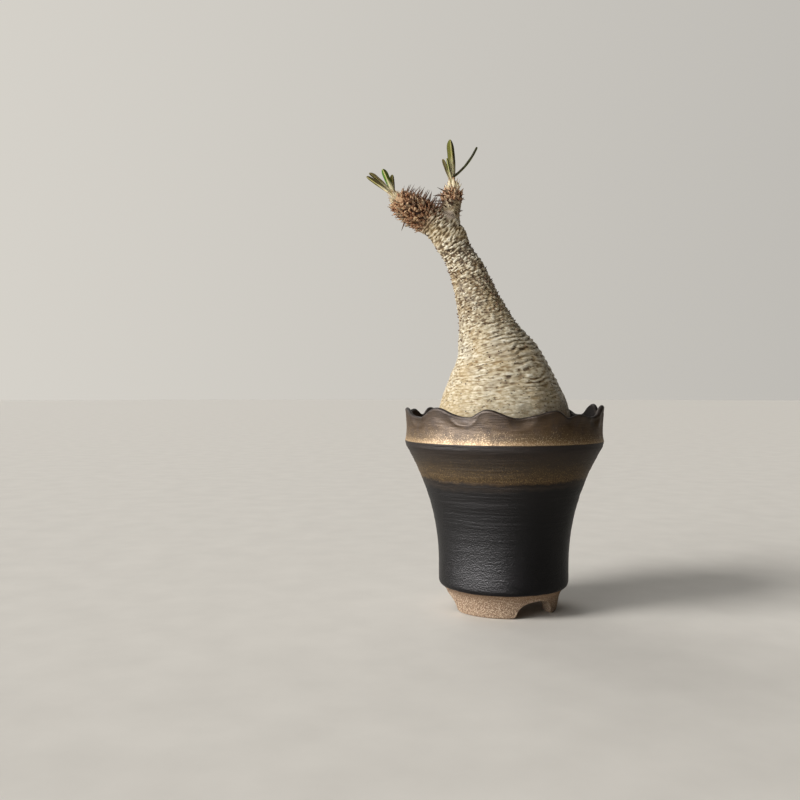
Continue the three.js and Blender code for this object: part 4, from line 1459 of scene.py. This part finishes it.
def bud_of(name, end, aim, radius, height, seed):
    """Rings of narrow scales, the outer ones short and open, the inner ones tall and closed."""
    draw = random.Random(seed)
    facing = aim.to_track_quat("Z", "Y").to_matrix().to_4x4()
    base = Matrix.Scale(MM, 4) @ Matrix.Translation(end + AXIS) @ facing
    places = []
    for ring, (reach, tall, lean, count) in enumerate(BUD_RINGS):
        for i in range(count):
            turn = math.tau * (i + 0.5 * (ring % 2)) / count + draw.uniform(-0.2, 0.2)
            long = height * tall * draw.uniform(0.7, 1.25)
            wide = radius * draw.uniform(0.14, 0.24)
            stand = Matrix.Translation((radius * reach, 0, -SCALE_SUNK))
            stand = Matrix.Rotation(turn, 4, "Z") @ stand @ Matrix.Rotation(lean, 4, "Y")
            places.append((base @ stand @ Matrix.Diagonal((wide, wide, long, 1)), draw.random()))
    return copies_of(bud_scale, name, places, "scale_hue")


left_bud = bud_of("left_bud", LEFT_END, LEFT_AIM, radius=3.7, height=5.6, seed=31)
right_middle = RIGHT_END + Vector((0.3, 0, 0))
right_bud = bud_of("right_bud", right_middle, RIGHT_AIM, radius=3.9, height=6.4, seed=32)
discard(bud_scale)
print("bud faces:", len(left_bud.data.polygons), len(right_bud.data.polygons))

# %% Finish of the leaves
leaf_skin = Finish("young_leaf", specular=0.15)
across = leaf_skin.value_of("across")
side = leaf_skin.maths("ABSOLUTE", across)
up_leaf = leaf_skin.value_of("along")
leaf_hue = leaf_skin.value_of("leaf_hue")
leaf_clouds = leaf_skin.noise(leaf_skin.place(), 260, 3)
leaf_tone = leaf_skin.ramp(
    leaf_skin.swayed(leaf_hue, leaf_clouds, 0.12),
    [
        (0.0, (146, 132, 96)), (0.3, (98, 90, 40)), (0.6, (100, 98, 28)),
        (0.85, (82, 126, 42)), (1.0, (36, 42, 14)),
    ],
)
# Painted shade: one half of each folded blade is painted darker, as the half turned away from the
# light.
painted_shade_half = leaf_skin.band(across, 0, -0.2, 0, 0.75)
painted_shade_half = leaf_skin.times(painted_shade_half, leaf_skin.band(leaf_hue, 0.2, 0.28))
leaf_tone = leaf_skin.mix(painted_shade_half, leaf_tone, (52, 42, 18))
midrib = leaf_skin.band(side, 0.24, 0.08)
leaf_tone = leaf_skin.mix(leaf_skin.times(midrib, 0.85), leaf_tone, (204, 196, 132))
edge_dark = leaf_skin.band(side, 0.76, 0.96)
leaf_tone = leaf_skin.mix(leaf_skin.times(edge_dark, 0.6), leaf_tone, (50, 42, 24))
foot_reach = leaf_skin.scaled(side, 0.25, up_leaf)
foot_reach = leaf_skin.scaled(leaf_clouds, 0.1, foot_reach)
foot_share = leaf_skin.band(foot_reach, 0.76, 0.44, 0, 0.95)
foot_share = leaf_skin.times(foot_share, leaf_skin.band(leaf_hue, 0.99, 0.9))
leaf_tone = leaf_skin.mix(foot_share, leaf_tone, (228, 218, 180))
leaf_veins = leaf_skin.noise(leaf_skin.place(), 900, 3)
leaf_material = leaf_skin.connect(
    Base_Color=leaf_tone,
    Normal=leaf_skin.bump(leaf_veins, 0.0001, 0.4),
    Roughness=leaf_skin.band(leaf_clouds, 0.3, 0.7, 0.36, 0.56),
)
glow = {"Weight": 0.12, "Radius": (0.6, 1.0, 0.2), "Scale": 0.001}
for socket, value in glow.items():
    leaf_skin.shader.inputs["Subsurface " + socket].default_value = value
print("leaf nodes:", len(leaf_skin.tree.nodes))

# %% Finish of the bud scales
bud_skin = Finish("cream_bud_scales", specular=0.15)
up_scale = bud_skin.value_of("along")
fibres = bud_skin.noise(bud_skin.place(stretch=(1, 1, 0.3)), 1400, 3, 0.6)
bud_tone = bud_skin.ramp(
    bud_skin.swayed(up_scale, fibres, 0.5),
    [
        (0.0, (160, 124, 92)), (0.25, (236, 226, 198)), (0.65, (232, 220, 186)),
        (0.9, (166, 128, 92)), (1.0, (84, 54, 36)),
    ],
)
bud_material = bud_skin.connect(Base_Color=bud_tone, Normal=bud_skin.bump(fibres, 0.0004, 0.6))
for leaves, bud, node, slot in (
    (left_leaves, left_bud, "left_leaf_tuft", "left_leaf"),
    (right_leaves, right_bud, "right_leaf_tuft", "right_leaf"),
):
    leaves.data.materials.append(leaf_material)
    bud.data.materials.append(bud_material)
    for piece in (leaves, bud):
        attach(piece, "root")
        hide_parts(node)
print("leaf finish:", leaf_skin.material.name, "bud finish:", bud_skin.material.name)
